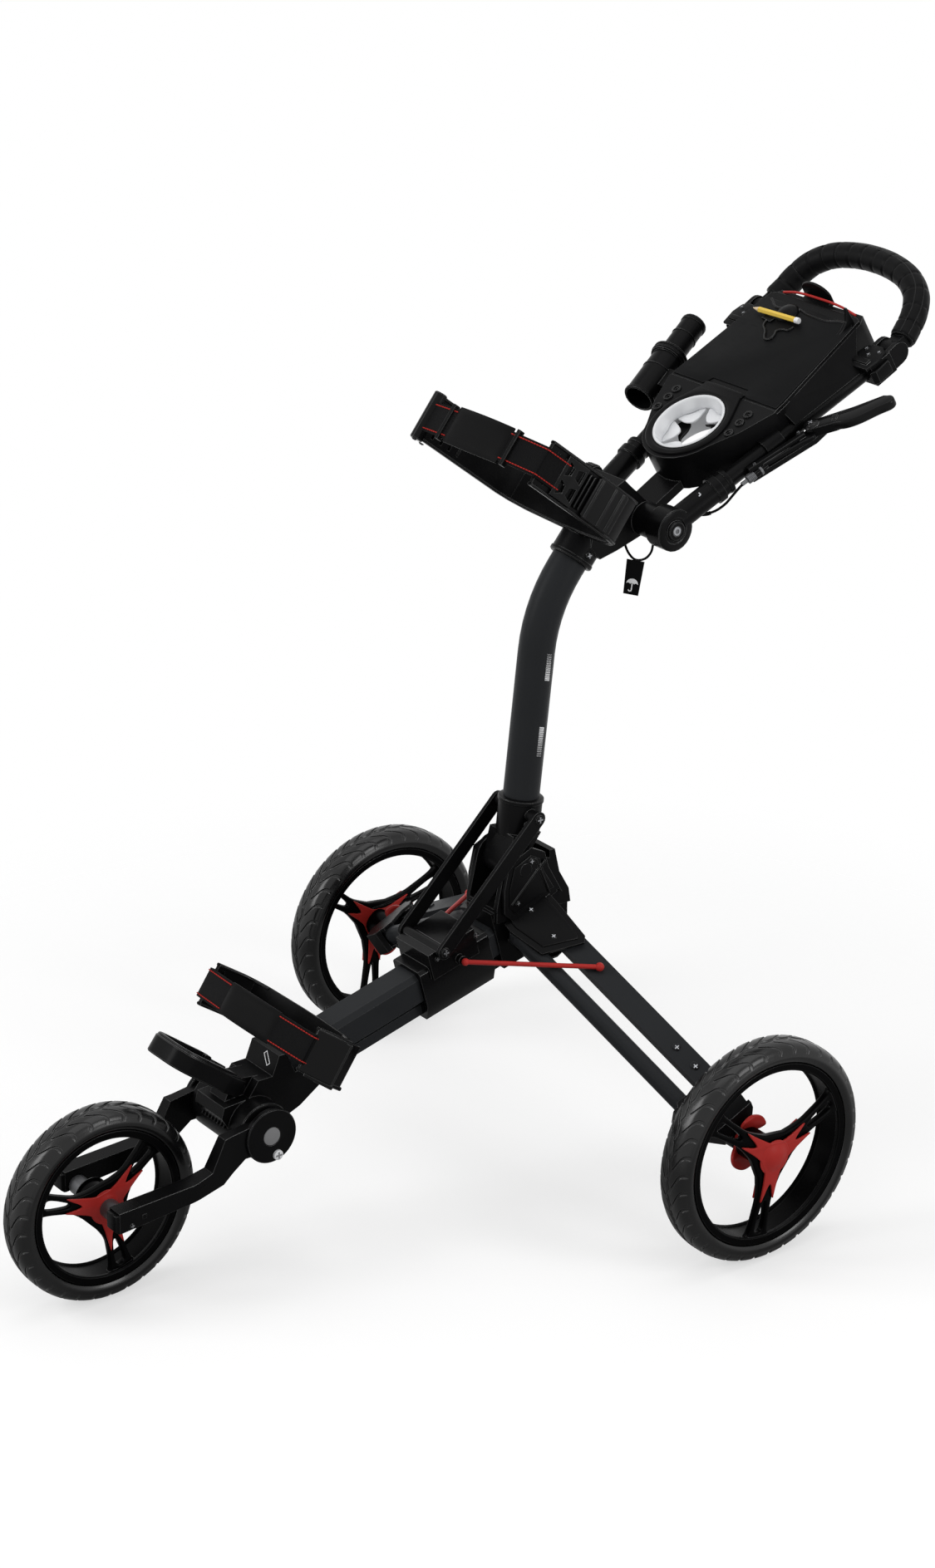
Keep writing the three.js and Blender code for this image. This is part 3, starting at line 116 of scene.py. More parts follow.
leg_root = Vector((60, 622, 318.6))
leg_out = (Vector((325, 675, 175)) - leg_root).normalized()
leg_axis = Vector((0.06, -0.9, -0.4316)).cross(leg_out).normalized()
LEG = turned_frame(leg_root, leg_out, leg_axis.cross(leg_out))
FLAT = Matrix.Identity(4)
MIRROR = Matrix.Scale(-1, 4, (1, 0, 0))
SIDES = (("left", FLAT), ("right", MIRROR))
ON_EDGE = Matrix(((0, 0, 1, 0), (1, 0, 0, 0), (0, 1, 0, 0), (0, 0, 0, 1)))
UPRIGHT = Matrix(((1, 0, 0, 0), (0, 0, -1, 0), (0, 1, 0, 0), (0, 0, 0, 1)))
ALONG_Z = Matrix(((0, 1, 0, 0), (0, 0, 1, 0), (1, 0, 0, 0), (0, 0, 0, 1)))
print("front axle at y =", round(AXLE_Y, 4))

# %% [markdown]
# ## Camera, floor and light
# A long lens from the front left, a little above the handle's foot, shows all three wheels. The floor and
# the world are white for the camera, and large soft lamps draw the bright edges that near-black plastic
# needs.

# %% Camera
def added(name, data):
    """A new object in the scene."""
    made = bpy.data.objects.new(name, data)
    bpy.context.scene.collection.objects.link(made)
    return made


camera_data = bpy.data.cameras.new("camera")
camera_data.lens = 83.25
camera_data.sensor_width = 36
camera = added("camera", camera_data)
aim = Vector((0, 0.0060, 0.5124))
camera.location = (3.2151, -2.3714, 2.2042)
camera.rotation_euler = (aim - camera.location).to_track_quat("-Z", "Y").to_euler()
bpy.context.scene.camera = camera
bpy.context.scene.view_settings.view_transform = "Standard"
print("camera:", [round(v, 3) for v in camera.location], camera_data.lens, "mm")


# %% World and floor
def feed(tree, made, *inputs, **values):
    """Fills a node's inputs in their order, where None skips one, and its settings and inputs by name.

    An output socket is linked, and so is a node, by its first output. Anything else is a plain value."""
    named = []
    for key, value in values.items():
        if key in made.inputs:
            named.append((made.inputs[key], value))
        else:
            setattr(made, key, value)
    for socket, value in [*named, *zip(made.inputs, inputs)]:
        source = value.outputs[0] if isinstance(value, bpy.types.Node) else value
        if isinstance(source, bpy.types.NodeSocket):
            tree.links.new(source, socket)
        elif source is not None:
            socket.default_value = source
    return made


def node(tree, kind, *inputs, **values):
    return feed(tree, tree.nodes.new(kind), *inputs, **values)


def maths(tree, operation, *inputs):
    return node(tree, "ShaderNodeMath", *inputs, operation=operation)


def remap(tree, source, low, high, to_low=0.0, to_high=1.0, **settings):
    """A node that takes a source's span from low to high to another span."""
    limits = {"From Min": low, "From Max": high, "To Min": to_low, "To Max": to_high}
    return node(tree, "ShaderNodeMapRange", source, **limits, **settings)


def empty_material(name):
    """A new material and its node tree, with no node in it yet."""
    made = bpy.data.materials.new(name)
    made.use_nodes = True
    made.node_tree.nodes.clear()
    return made, made.node_tree


def seen_straight(tree):
    """1 for a ray from the camera, a mirror-like one, or one through glass."""
    rays = node(tree, "ShaderNodeLightPath").outputs
    first = maths(tree, "MAXIMUM", rays["Is Camera Ray"], rays["Is Glossy Ray"])
    return maths(tree, "MAXIMUM", first, rays["Is Transmission Ray"])


world = bpy.data.worlds.new("studio")
bpy.context.scene.world = world
world.use_nodes = True
tree = world.node_tree
tree.nodes.clear()
plain = node(tree, "ShaderNodeBackground", Color=(1, 1, 1, 1), Strength=0.42)
white = node(tree, "ShaderNodeBackground", Color=(1, 1, 1, 1), Strength=1.0)
node(tree, "ShaderNodeOutputWorld", node(tree, "ShaderNodeMixShader", seen_straight(tree), plain, white))

FLOOR_REACH = 4
floor_mesh = bpy.data.meshes.new("floor")
corners = [(x * FLOOR_REACH, y * FLOOR_REACH, 0) for x, y in ((-1, -1), (1, -1), (1, 1), (-1, 1))]
floor_mesh.from_pydata(corners, [], [(0, 1, 2, 3)])
floor = added("floor", floor_mesh)
floor.location.z = -0.0005
paper, tree = empty_material("white paper")
matte = node(tree, "ShaderNodeBsdfDiffuse", Color=(0.50, 0.50, 0.50, 1))
lift = node(tree, "ShaderNodeEmission", Color=(1, 1, 1, 1), Strength=0.56)
dark = node(tree, "ShaderNodeEmission", Strength=0.0)
to_camera = node(tree, "ShaderNodeLightPath").outputs["Is Camera Ray"]
seen = node(tree, "ShaderNodeAddShader", matte, node(tree, "ShaderNodeMixShader", to_camera, dark, lift))
place = node(tree, "ShaderNodeTexCoord").outputs["Object"]
away = node(tree, "ShaderNodeVectorMath", place, operation="LENGTH").outputs["Value"]
fade = remap(tree, away, 0.75, 1.25, interpolation_type="SMOOTHSTEP")
clear = node(tree, "ShaderNodeBsdfTransparent")
node(tree, "ShaderNodeOutputMaterial", node(tree, "ShaderNodeMixShader", fade, seen, clear))
floor_mesh.materials.append(paper)
print("floor and world are white for the camera")


# %% Lamps
def lamp(name, place, target, size, watts):
    data = bpy.data.lights.new(name, "AREA")
    data.shape = "RECTANGLE"
    data.size, data.size_y = size
    data.energy = watts
    made = added(name, data)
    made.location = place
    made.rotation_euler = (Vector(target) - Vector(place)).to_track_quat("-Z", "Y").to_euler()
    return made


lamp("overhead", (0.3, 0.2, 3.6), (0, 0.1, 0.5), (3.0, 3.0), 30)
lamp("key", (-1.6, -3.2, 2.6), (0, 0, 0.5), (1.6, 2.2), 66)
lamp("side", (3.6, 1.4, 2.0), (0, 0.2, 0.6), (1.2, 2.4), 52)
print("lamps: overhead, key and side")

# %% [markdown]
# ## Shared surface effects
# Moulded plastic, powder coat and rubber all have a fine grain and uneven gloss, at different sizes. Such an
# effect is a node group that is built once. A group puts out only colours, masks and heights; the shader
# stays in the material.


# %% Node groups
def group(name, inputs, outputs, kind="ShaderNodeTree"):
    """A node group with inputs (name, socket kind, value) and outputs (name, socket kind)."""
    made = bpy.data.node_groups.new(name, kind)
    for label, socket_kind, value in inputs:
        socket = made.interface.new_socket(label, in_out="INPUT", socket_type=socket_kind)
        if value is not None:
            socket.default_value = value
    for label, socket_kind in outputs:
        made.interface.new_socket(label, in_out="OUTPUT", socket_type=socket_kind)
    return made, made.nodes.new("NodeGroupInput"), made.nodes.new("NodeGroupOutput")


FLOAT, VECTOR = "NodeSocketFloat", "NodeSocketVector"


def grain_group():
    """Fine moulded grain as a height, and slow unevenness as a mask from 0 to 1."""
    made, given, result = group("grain", [("Size", FLOAT, 0.0006), ("Patch", FLOAT, 0.05)],
                                [("Height", FLOAT), ("Patches", FLOAT)])
    place = node(made, "ShaderNodeTexCoord").outputs["Object"]
    noises = []
    for label, detail in (("Size", 2.0), ("Patch", 4.0)):
        count = maths(made, "DIVIDE", 1.0, given.outputs[label])
        noise = node(made, "ShaderNodeTexNoise", Vector=place, Scale=count, Detail=detail, Roughness=0.55)
        noises.append(noise.outputs["Fac"])
    feed(made, result, *noises)
    return made


def rub_group():
    """Faint scuffs: thin stretched marks, mostly where a slow mask is high."""
    made, given, result = group("rubbed", [("Amount", FLOAT, 0.3)], [("Mask", FLOAT)])
    place = node(made, "ShaderNodeTexCoord").outputs["Object"]
    stretch = node(made, "ShaderNodeMapping", place, Scale=(40, 260, 90), Rotation=(0.4, 0.3, 0.9))
    marks = node(made, "ShaderNodeTexNoise", Vector=stretch, Scale=1.0, Detail=5.0, Roughness=0.7)
    slow = node(made, "ShaderNodeTexNoise", Vector=place, Scale=9.0, Detail=2.0)
    both = maths(made, "MULTIPLY", remap(made, marks.outputs["Fac"], 0.55, 0.75), slow.outputs["Fac"])
    feed(made, result, maths(made, "MULTIPLY", both, given))
    return made


def polish_group():
    """A mask that is high on rounded edges, where handling polishes a moulded surface."""
    made, given, result = group("polished edges", [("Rounded", VECTOR, None)], [("Edges", FLOAT)])
    flat = node(made, "ShaderNodeNewGeometry").outputs["Normal"]
    same = node(made, "ShaderNodeVectorMath", given, flat, operation="DOT_PRODUCT")
    feed(made, result, remap(made, same.outputs["Value"], 0.995, 0.90))
    return made


GRAIN = grain_group()
POLISH = polish_group()
RUBBED = rub_group()
print("groups:", GRAIN.name, RUBBED.name, POLISH.name)

# %% [markdown]
# ## Finishes
# One function makes a finish from a dark and a light tone that the slow patches blend, a span of roughness,
# a grain size and a bump depth. The Bevel node rounds the look of hard CAD edges, so that each edge catches
# a thin highlight.


# %% A finish from its tones, gloss and grain
def tone_mix(tree, share, dark, light):
    """A colour from a dark to a light tone, by a share from 0 to 1."""
    made = node(tree, "ShaderNodeMix", share, data_type="RGBA")
    for socket in made.inputs:
        if socket.type == "RGBA":
            socket.default_value = (*dark, 1) if socket.name == "A" else (*light, 1)
    return made.outputs[2]


SPECULAR = "Specular IOR Level"
PLAIN = {SPECULAR: 0.05}


def finish(name, slot, dark, light, gloss, grain, bump, patch=0.05, rub=0.0, edge=0.0008, worn=0.0,
           **shader):
    """slot is the record's material and is not used, and gloss is the span of roughness.

    edge is the radius of the rounded look, and worn the shine that it takes."""
    made, tree = empty_material(name)
    grains = node(tree, "ShaderNodeGroup", node_tree=GRAIN, Size=grain, Patch=patch).outputs
    scuffs = node(tree, "ShaderNodeGroup", node_tree=RUBBED, Amount=rub)
    tones = tone_mix(tree, grains["Patches"], dark, light)
    rough = maths(tree, "ADD", remap(tree, grains["Patches"], 0.3, 0.7, *gloss), scuffs)
    bumps = node(tree, "ShaderNodeBump", Strength=bump, Distance=0.0004, Height=grains["Height"])
    surface = node(tree, "ShaderNodeBsdfPrincipled", tones, Roughness=rough, Normal=bumps, **shader)
    node(tree, "ShaderNodeOutputMaterial", surface)
    if edge:
        rounded = node(tree, "ShaderNodeBevel", samples=4, Radius=edge)
        feed(tree, bumps, Normal=rounded)
    if worn:
        shine = node(tree, "ShaderNodeGroup", rounded, node_tree=POLISH)
        plain_level = surface.inputs[SPECULAR].default_value
        feed(tree, surface, **{SPECULAR: remap(tree, shine, 0.0, 1.0, plain_level, worn)})
    return made


plastic = finish("moulded black plastic", "body_plastic", (0.0030, 0.0030, 0.0032), (0.0054, 0.0054, 0.0057),
                 (0.24, 0.36), grain=0.0007, bump=0.10, rub=0.25, edge=0.0010, worn=0.9, **PLAIN)
coat = finish("charcoal powder coat", "charcoal_paint", (0.0185, 0.0196, 0.0212), (0.0230, 0.0243, 0.0262),
              (0.34, 0.44), grain=0.00045, bump=0.10, rub=0.2, worn=0.35, **PLAIN)
satin = finish("satin lid plastic", "body_plastic", (0.0024, 0.0025, 0.0028), (0.0038, 0.0040, 0.0043),
               (0.42, 0.55), grain=0.0007, bump=0.14, rub=0.2, worn=0.4, **PLAIN)
gloss_plastic = finish("gloss black plastic", "body_plastic", (0.0020, 0.0020, 0.0022),
                       (0.0034, 0.0034, 0.0037), (0.14, 0.24), grain=0.0009, bump=0.04, rub=0.2, edge=0.0010,
                       worn=1.0, **{SPECULAR: 0.12})
wheel_plastic = finish("wheel plastic", "wheel_plastic", (0.0010, 0.0010, 0.0011), (0.0018, 0.0018, 0.0020),
                       (0.22, 0.32), grain=0.0009, bump=0.05, rub=0.2, worn=0.4, **{SPECULAR: 0.03})
foam = finish("tyre foam rubber", "tyre", (0.0030, 0.0030, 0.0031), (0.0060, 0.0060, 0.0062), (0.16, 0.26),
              grain=0.0006, bump=0.06, patch=0.03, rub=0.2, edge=0.0009, worn=1.0, **{SPECULAR: 0.34})
red_plastic = finish("red plastic", "red_plastic", (0.36, 0.021, 0.018), (0.43, 0.029, 0.024), (0.28, 0.40),
                     grain=0.0006, bump=0.06, rub=0.3, worn=0.3, **{SPECULAR: 0.12})
red_coat = finish("red coating", "red_paint", (0.38, 0.022, 0.020), (0.46, 0.031, 0.027), (0.28, 0.40),
                  grain=0.0004, bump=0.05, rub=0.4, **{SPECULAR: 0.12})
steel = finish("grey plated steel", "steel", (0.085, 0.087, 0.092), (0.125, 0.127, 0.132), (0.34, 0.48),
               grain=0.0003, bump=0.05, rub=0.5, Metallic=0.6)
bright_steel = finish("bright zinc steel", "steel", (0.20, 0.205, 0.215), (0.34, 0.345, 0.36), (0.22, 0.36),
                      grain=0.0003, bump=0.04, rub=0.4, Metallic=1.0, edge=0.0003)
white_plastic = finish("white plastic", "white_plastic", (0.72, 0.73, 0.75), (0.84, 0.85, 0.86),
                       (0.30, 0.42), grain=0.0008, bump=0.05, patch=0.02)
white_print = finish("white print", "white_plastic", (0.84, 0.85, 0.86), (0.90, 0.90, 0.91), (0.4, 0.5),
                     grain=0.0006, bump=0.03, patch=0.01, edge=0)
grey_plastic = finish("grey cap plastic", "steel", (0.20, 0.20, 0.205), (0.25, 0.25, 0.255), (0.38, 0.5),
                      grain=0.0005, bump=0.08, **PLAIN)
yellow_paint = finish("yellow pencil paint", "pencil_paint", (0.72, 0.47, 0.035), (0.82, 0.56, 0.05),
                      (0.28, 0.4), grain=0.0005, bump=0.05, patch=0.01, edge=0.0003)
pale_wood = finish("sharpened wood", "pencil_paint", (0.62, 0.48, 0.30), (0.72, 0.58, 0.40), (0.5, 0.6),
                   grain=0.0004, bump=0.1, patch=0.004, edge=0)
grip_rubber = finish("grip rubber", "grip_rubber", (0.0040, 0.0040, 0.0042), (0.0072, 0.0072, 0.0075),
                     (0.34, 0.46), grain=0.0006, bump=0.22, patch=0.02, edge=0.0006, worn=0.5, **PLAIN)
soft_rubber = finish("soft black rubber", "tag_rubber", (0.0012, 0.0012, 0.0013), (0.0022, 0.0022, 0.0024),
                     (0.44, 0.56), grain=0.0005, bump=0.1, edge=0.0004, worn=0.3, **PLAIN)
jacket = finish("cable jacket", "cable_jacket", (0.0030, 0.0030, 0.0032), (0.0055, 0.0055, 0.0058),
                (0.34, 0.46), grain=0.0004, bump=0.06, edge=0, **PLAIN)
red_thread = finish("red thread", "red_elastic", (0.36, 0.022, 0.018), (0.52, 0.040, 0.032), (0.6, 0.75),
                    grain=0.0003, bump=0.3, patch=0.004, edge=0, **PLAIN)


# %% Woven webbing
def weave_group():
    """Crossed ribs from a UV in metres: Height of the weave, and Yarns as a mask."""
    made, given, result = group("weave", [("Rib", FLOAT, 0.0016)], [("Height", FLOAT), ("Yarns", FLOAT)])
    place = node(made, "ShaderNodeUVMap", uv_map="cloth")
    count = maths(made, "DIVIDE", 0.5, given)
    ribs = [node(made, "ShaderNodeTexWave", bands_direction=way, wave_profile="SIN", Distortion=0.3,
                 Vector=place, Scale=count).outputs["Fac"] for way in ("X", "Y")]
    feed(made, result, maths(made, "MULTIPLY", *ribs), ribs[0])
    return made


def cloth(name, dark, light, rough, rib):
    made, tree = empty_material(name)
    weave = node(tree, "ShaderNodeGroup", node_tree=WEAVE, Rib=rib).outputs
    tones = tone_mix(tree, weave["Yarns"], dark, light)
    bumps = node(tree, "ShaderNodeBump", Strength=0.6, Distance=0.0005, Height=weave["Height"])
    surface = node(tree, "ShaderNodeBsdfPrincipled", tones, Roughness=rough, Normal=bumps, **PLAIN)
    node(tree, "ShaderNodeOutputMaterial", surface)
    return made


WEAVE = weave_group()
webbing = cloth("black webbing", (0.0022, 0.0022, 0.0024), (0.0060, 0.0060, 0.0064), 0.62, 0.0018)
print("finishes:", len(bpy.data.materials))

# %% [markdown]
# ## CAD nodes keep their shape and get smooth shading
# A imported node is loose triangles, so its round faces look faceted. A short Geometry Nodes tree joins the
# corners that meet and marks as sharp only the edges that turn by more than 30 degrees. It moves nothing.


# %% Smooth shading for CAD nodes
def geometry_tree(name, inputs):
    """A Geometry Nodes tree with a geometry in and out, and more inputs."""
    geometry = "NodeSocketGeometry"
    return group(name, [("Geometry", geometry, None), *inputs], [("Geometry", geometry)], "GeometryNodeTree")


def set_input(modifier, name, value):
    """A modifier's input is set by its socket's identifier."""
    for item in modifier.node_group.interface.items_tree:
        if item.item_type == "SOCKET" and item.in_out == "INPUT" and item.name == name:
            modifier[item.identifier] = value
            return
    raise KeyError(name)


def smooth_tree():
    made, given, result = geometry_tree("smooth by angle", [("Angle", FLOAT, math.radians(30))])
    merged = node(made, "GeometryNodeMergeByDistance", given, Distance=0.00002)
    angle = node(made, "GeometryNodeInputMeshEdgeAngle").outputs["Unsigned Angle"]
    gentle = node(made, "FunctionNodeCompare", angle, given.outputs["Angle"], operation="LESS_EQUAL")
    faces = node(made, "GeometryNodeSetShadeSmooth", merged, domain="FACE")
    feed(made, result, node(made, "GeometryNodeSetShadeSmooth", faces, None, gentle, domain="EDGE"))
    return made


SMOOTH = smooth_tree()


def dress(names, material):
    """Gives CAD nodes a material in their own slots, and smooth shading."""
    for name in names.split():
        piece = nodes[name]
        if not piece.material_slots:
            piece.data.materials.append(material)
        for slot in piece.material_slots:
            slot.material = material
        modifier = piece.modifiers.new("smooth by angle", "NODES")
        modifier.node_group = SMOOTH


def pairs(names):
    return " ".join(f"{name}_left {name}_right" for name in names.split())


dress("lower_bracket lower_cradle bag_stop_hoop hub_body column_base column_head upper_cradle", plastic)
dress("carriage", gloss_plastic)
dress("cradle_knob console_body console_lid umbrella_holder brake_bracket brake_lever", plastic)
dress(pairs("hub_cover strut wheel_bracket grip_clamp fork_arm handle_tube"), plastic)
dress("front_tube column " + pairs("leg_bar leg_rod"), coat)
dress("front_rim " + pairs("rear_rim"), wheel_plastic)
dress("front_tyre " + pairs("rear_tyre"), foam)
dress(pairs("front_hub_cap hub_cap release_tab"), red_plastic)
dress(pairs("push_rod") + " card_elastic", red_coat)
dress("front_axle fork_pivot_bolt handle_pivot_bolt", steel)
dress("cup_liner", white_plastic)
dress("pencil", yellow_paint)
dress("grip", grip_rubber)
dress("upper_strap lower_strap tag tag_cord", soft_rubber)
dress("brake_cable leg_cable", jacket)
print("dressed CAD nodes:", sum(1 for o in nodes.values() if o.modifiers))

# %% [markdown]
# ## Tools for shaped pieces
# A few functions make all the shaped pieces: a turned profile, a filled outline with rounded edges, a round
# tube along a line, and a flat band along a line. Each takes millimetres in one of the frames above, and
# each piece then rides on the CAD body that it belongs to and takes one of the finishes above.

# %% Lists of points
def round_points(radius, parts):
    turns = [2 * math.pi * i / parts for i in range(parts)]
    return [(radius * math.cos(t), radius * math.sin(t)) for t in turns]


def polar(radius, degrees):
    """A flat point at a radius, turned from x by an angle."""
    return radius * math.cos(math.radians(degrees)), radius * math.sin(math.radians(degrees))


def rectangle(left, low, right, high):
    return [(left, low), (right, low), (right, high), (left, high)]


def mirrored(line):
    """A flat line's mirror image about x = 0, run the other way."""
    return [(-x, y) for x, y in reversed(line)]


def way_along(path, i):
    """The direction of a path at its point i."""
    return (Vector(path[min(i + 1, len(path) - 1)]) - Vector(path[max(i - 1, 0)])).normalized()


def smooth_line(points, parts, closed=False):
    """A Catmull-Rom line through points of any dimension."""
    count = len(points)
    made = []
    for i in range(count if closed else count - 1):
        near = [(i + k) % count if closed else min(max(i + k, 0), count - 1) for k in (-1, 0, 1, 2)]
        a, b, c, d = [Vector(points[k]) for k in near]
        for step in range(parts):
            t = step / parts
            line = 2 * b + (c - a) * t + (2 * a - 5 * b + 4 * c - d) * t**2 + (3 * b - a - 3 * c + d) * t**3
            made.append(tuple(line / 2))
    return made if closed else made + [tuple(points[-1])]


# %% Mesh data from points, outlines and lines
def mesh_of(corners, faces, place=None):
    data = bpy.data.meshes.new("shape")
    data.from_pydata([tuple(c) for c in corners], [], faces)
    return moved(data, place) if place else data


def moved(data, place):
    """Mesh data taken from mm in a frame to metres, and turned right side out again if that mirrors it."""
    data.transform(place)
    if place.to_3x3().determinant() < 0:
        data.flip_normals()
    return data


def lathe(profile, sides, place=None, closed=False):
    """A profile of (radius, height) turned about z. A radius of 0 makes a pole."""
    corners, rings = [], []
    for radius, height in profile:
        first = len(corners)
        if radius == 0:
            corners.append((0, 0, height))
            rings.append([first] * sides)
        else:
            corners += [(x, y, height) for x, y in round_points(radius, sides)]
            rings.append(list(range(first, first + sides)))
    faces = []
    for low, high in zip(rings, rings[1:] + (rings[:1] if closed else [])):
        for i in range(sides):
            j = (i + 1) % sides
            face = list(dict.fromkeys((low[i], low[j], high[j], high[i])))
            if len(face) > 2:
                faces.append(face)
    return mesh_of(corners, faces, place)


def grid(rows, size, around=False, across=True):
    """Faces between rows of corners. across closes each row; around joins the last row to the first."""
    faces = []
    for i in range(rows if around else rows - 1):
        j = (i + 1) % rows
        for k in range(size if across else size - 1):
            m = (k + 1) % size
            faces.append((i * size + k, j * size + k, j * size + m, i * size + m))
    return faces


def evaluated(source):
    """Plain mesh data of an object with its modifiers, or of a curve. The object is used up."""
    bpy.context.view_layer.update()
    graph = bpy.context.evaluated_depsgraph_get()
    data = bpy.data.meshes.new_from_object(source.evaluated_get(graph), depsgraph=graph)
    bpy.data.objects.remove(source)
    return data


def slab(outline, low, high, place, edge, holes=(), steps=2):
    """A filled outline from one height to another, with edges rounded by a radius."""
    curve = bpy.data.curves.new("outline", "CURVE")
    curve.dimensions = "2D"
    curve.fill_mode = "BOTH"
    curve.extrude = (high - low) / 2 - edge
    curve.bevel_depth = edge
    curve.bevel_resolution = steps
    curve.offset = -edge
    for ring in (outline, *holes):
        line = curve.splines.new("POLY")
        line.points.add(len(ring) - 1)
        line.use_cyclic_u = True
        for point, (x, y) in zip(line.points, ring):
            point.co = (x, y, 0, 1)
    data = evaluated(added("outline", curve))
    data.transform(Matrix.Translation((0, 0, (low + high) / 2)))
    return moved(data, place)


def tube(points, radius, place, sides=3, smooth=5):
    """A round tube through points, with closed ends."""
    curve = bpy.data.curves.new("tube", "CURVE")
    curve.dimensions = "3D"
    curve.bevel_depth = radius
    curve.bevel_resolution = sides
    curve.use_fill_caps = True
    line = curve.splines.new("POLY")
    path = smooth_line(points, smooth) if smooth > 1 else points
    line.points.add(len(path) - 1)
    for point, co in zip(line.points, path):
        point.co = (*co, 1)
    return moved(evaluated(added("tube", curve)), place)


def band(path, half, thick, place, low=None, corner=0.35):
    """A flat strip that follows a path in x and y and is 2 * half wide along z. Its UV runs in metres."""
    low = -half if low is None else low
    high = low + 2 * half
    side = thick / 2
    section = [(-side, low + corner), (-side, high - corner), (-side + corner, high), (side - corner, high),
               (side, high - corner), (side, low + corner), (side - corner, low), (-side + corner, low)]
    corners, runs = [], [0.0]
    for i, point in enumerate(path):
        way = way_along(path, i)
        corners += [(point[0] - way.y * off, point[1] + way.x * off, z) for off, z in section]
        if i:
            runs.append(runs[-1] + (Vector(point) - Vector(path[i - 1])).length)
    size = len(section)
    faces = grid(len(path), size)
    faces += [tuple(range(size)), tuple(reversed(range(len(corners) - size, len(corners))))]
    data = mesh_of(corners, faces, place)
    uv = data.uv_layers.new(name="cloth")
    for loop in data.loops:
        ring, k = divmod(loop.vertex_index, size)
        uv.data[loop.index].uv = (runs[ring] / 1000, section[k][1] / 1000)
    return data


def aimed(frame, origin, way):
    """A frame in mm at a point of another frame, with its z along a direction of that frame."""
    return frame @ Matrix.Translation(origin) @ Vector(way).to_track_quat("Z", "Y").to_matrix().to_4x4()


def arm_face(place, side, out):
    """The outside of a cradle's arm: x across its band, y along the arm, z outwards."""
    return place @ Matrix(((0, 0, side, side * out), (0, 1, 0, 0), (-side, 0, 0, 0), (0, 0, 0, 1)))


# %% Pieces that ride on bodies
def piece(name, parts, material, body, smooth=35, stands_for=()):
    """One object of mesh data in the final place, with a finish, riding on a CAD body."""
    parts = parts if isinstance(parts, list) else [parts]
    merged = bmesh.new()
    for data in parts:
        merged.from_mesh(data)
    bmesh.ops.remove_doubles(merged, verts=merged.verts, dist=1e-7)
    whole = bpy.data.meshes.new(name)
    merged.to_mesh(whole)
    merged.free()
    for data in parts:
        bpy.data.meshes.remove(data)
    whole.materials.append(material)
    for face in whole.polygons:
        face.material_index = 0
    whole.shade_smooth()
    whole.set_sharp_from_angle(angle=math.radians(smooth))
    made = added(name, whole)
    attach(made, body)
    if stands_for:
        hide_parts(*stands_for)
    return made


def on_sides(name, maker, material, body, stands_for=(), **rest):
    """A left piece from maker(turn) with the plain frame, and a right one with the mirrored frame."""
    for side_name, turn in SIDES:
        hidden = [label.format(side_name) for label in stands_for]
        piece(f"{name}_{side_name}", maker(turn), material, body.format(side_name), stands_for=hidden, **rest)


# %% [markdown]
# ## Copies by Geometry Nodes
# Screws, treads, ribs and stitches are many copies of one small shape. Three trees place them: round an
# axis, on marked points with a facing, and along a line. Each ends by making the copies real and giving them
# a material, and the result is kept as plain mesh data.


# %% Three trees that place copies
OBJECT, MATERIAL, INTEGER = "NodeSocketObject", "NodeSocketMaterial", "NodeSocketInt"


def copy_tree(name, places, inputs):
    """A tree that puts a copy of the Seed on each of the points that places makes, turned as it says."""
    made, given, result = geometry_tree(name, [("Seed", OBJECT, None), ("Material", MATERIAL, None), *inputs])
    seed = node(made, "GeometryNodeObjectInfo", given.outputs["Seed"]).outputs["Geometry"]
    copies = node(made, "GeometryNodeInstanceOnPoints", Instance=seed, **places(made, given))
    real = node(made, "GeometryNodeRealizeInstances", copies)
    feed(made, result, node(made, "GeometryNodeSetMaterial", real, Material=given.outputs["Material"]))
    return made


def round_axis(made, given):
    """Count copies turned about z, from the angle Start."""
    count = given.outputs["Count"]
    points = node(made, "GeometryNodeMeshLine", mode="OFFSET", Count=count, Offset=(0, 0, 0))
    step = maths(made, "DIVIDE", 2 * math.pi, count)
    angle = maths(made, "MULTIPLY_ADD", node(made, "GeometryNodeInputIndex"), step, given.outputs["Start"])
    return {"Points": points, "Rotation": node(made, "ShaderNodeCombineXYZ", Z=angle)}


def on_marks(made, given):
    """A copy on each point, with its z along the point's facing and a size of its own."""
    facing = node(made, "GeometryNodeInputNamedAttribute", data_type="FLOAT_VECTOR", Name="facing")
    size = node(made, "GeometryNodeInputNamedAttribute", data_type="FLOAT", Name="size")
    turn = node(made, "FunctionNodeAlignRotationToVector", axis="Z", Vector=facing)
    return {"Points": given, "Rotation": turn, "Scale": size}


def on_line(made, given):
    """A copy every Spacing along a line, with its x along the line."""
    line = node(made, "GeometryNodeMeshToCurve", given)
    even = node(made, "GeometryNodeResampleCurve", line, mode="LENGTH", Length=given.outputs["Spacing"])
    way = node(made, "GeometryNodeInputTangent")
    return {"Points": even, "Rotation": node(made, "FunctionNodeAlignRotationToVector", axis="X", Vector=way)}


RING = copy_tree("copies round an axis", round_axis, [("Count", INTEGER, 12), ("Start", FLOAT, 0.0)])
SPOTS = copy_tree("copies on marked points", on_marks, [])
ALONG = copy_tree("copies along a line", on_line, [("Spacing", FLOAT, 5.0)])


def copies(tree, base, seed, place, material, **inputs):
    """Mesh data of the copies that a tree makes of seed mesh data, taken from mm in a frame to metres."""
    shape, holder = added("seed", seed), added("copies", base)
    modifier = holder.modifiers.new("copies", "NODES")
    modifier.node_group = tree
    set_input(modifier, "Seed", shape)
    set_input(modifier, "Material", material)
    for label, value in inputs.items():
        set_input(modifier, label, value)
    data = evaluated(holder)
    bpy.data.objects.remove(shape)
    return moved(data, place)


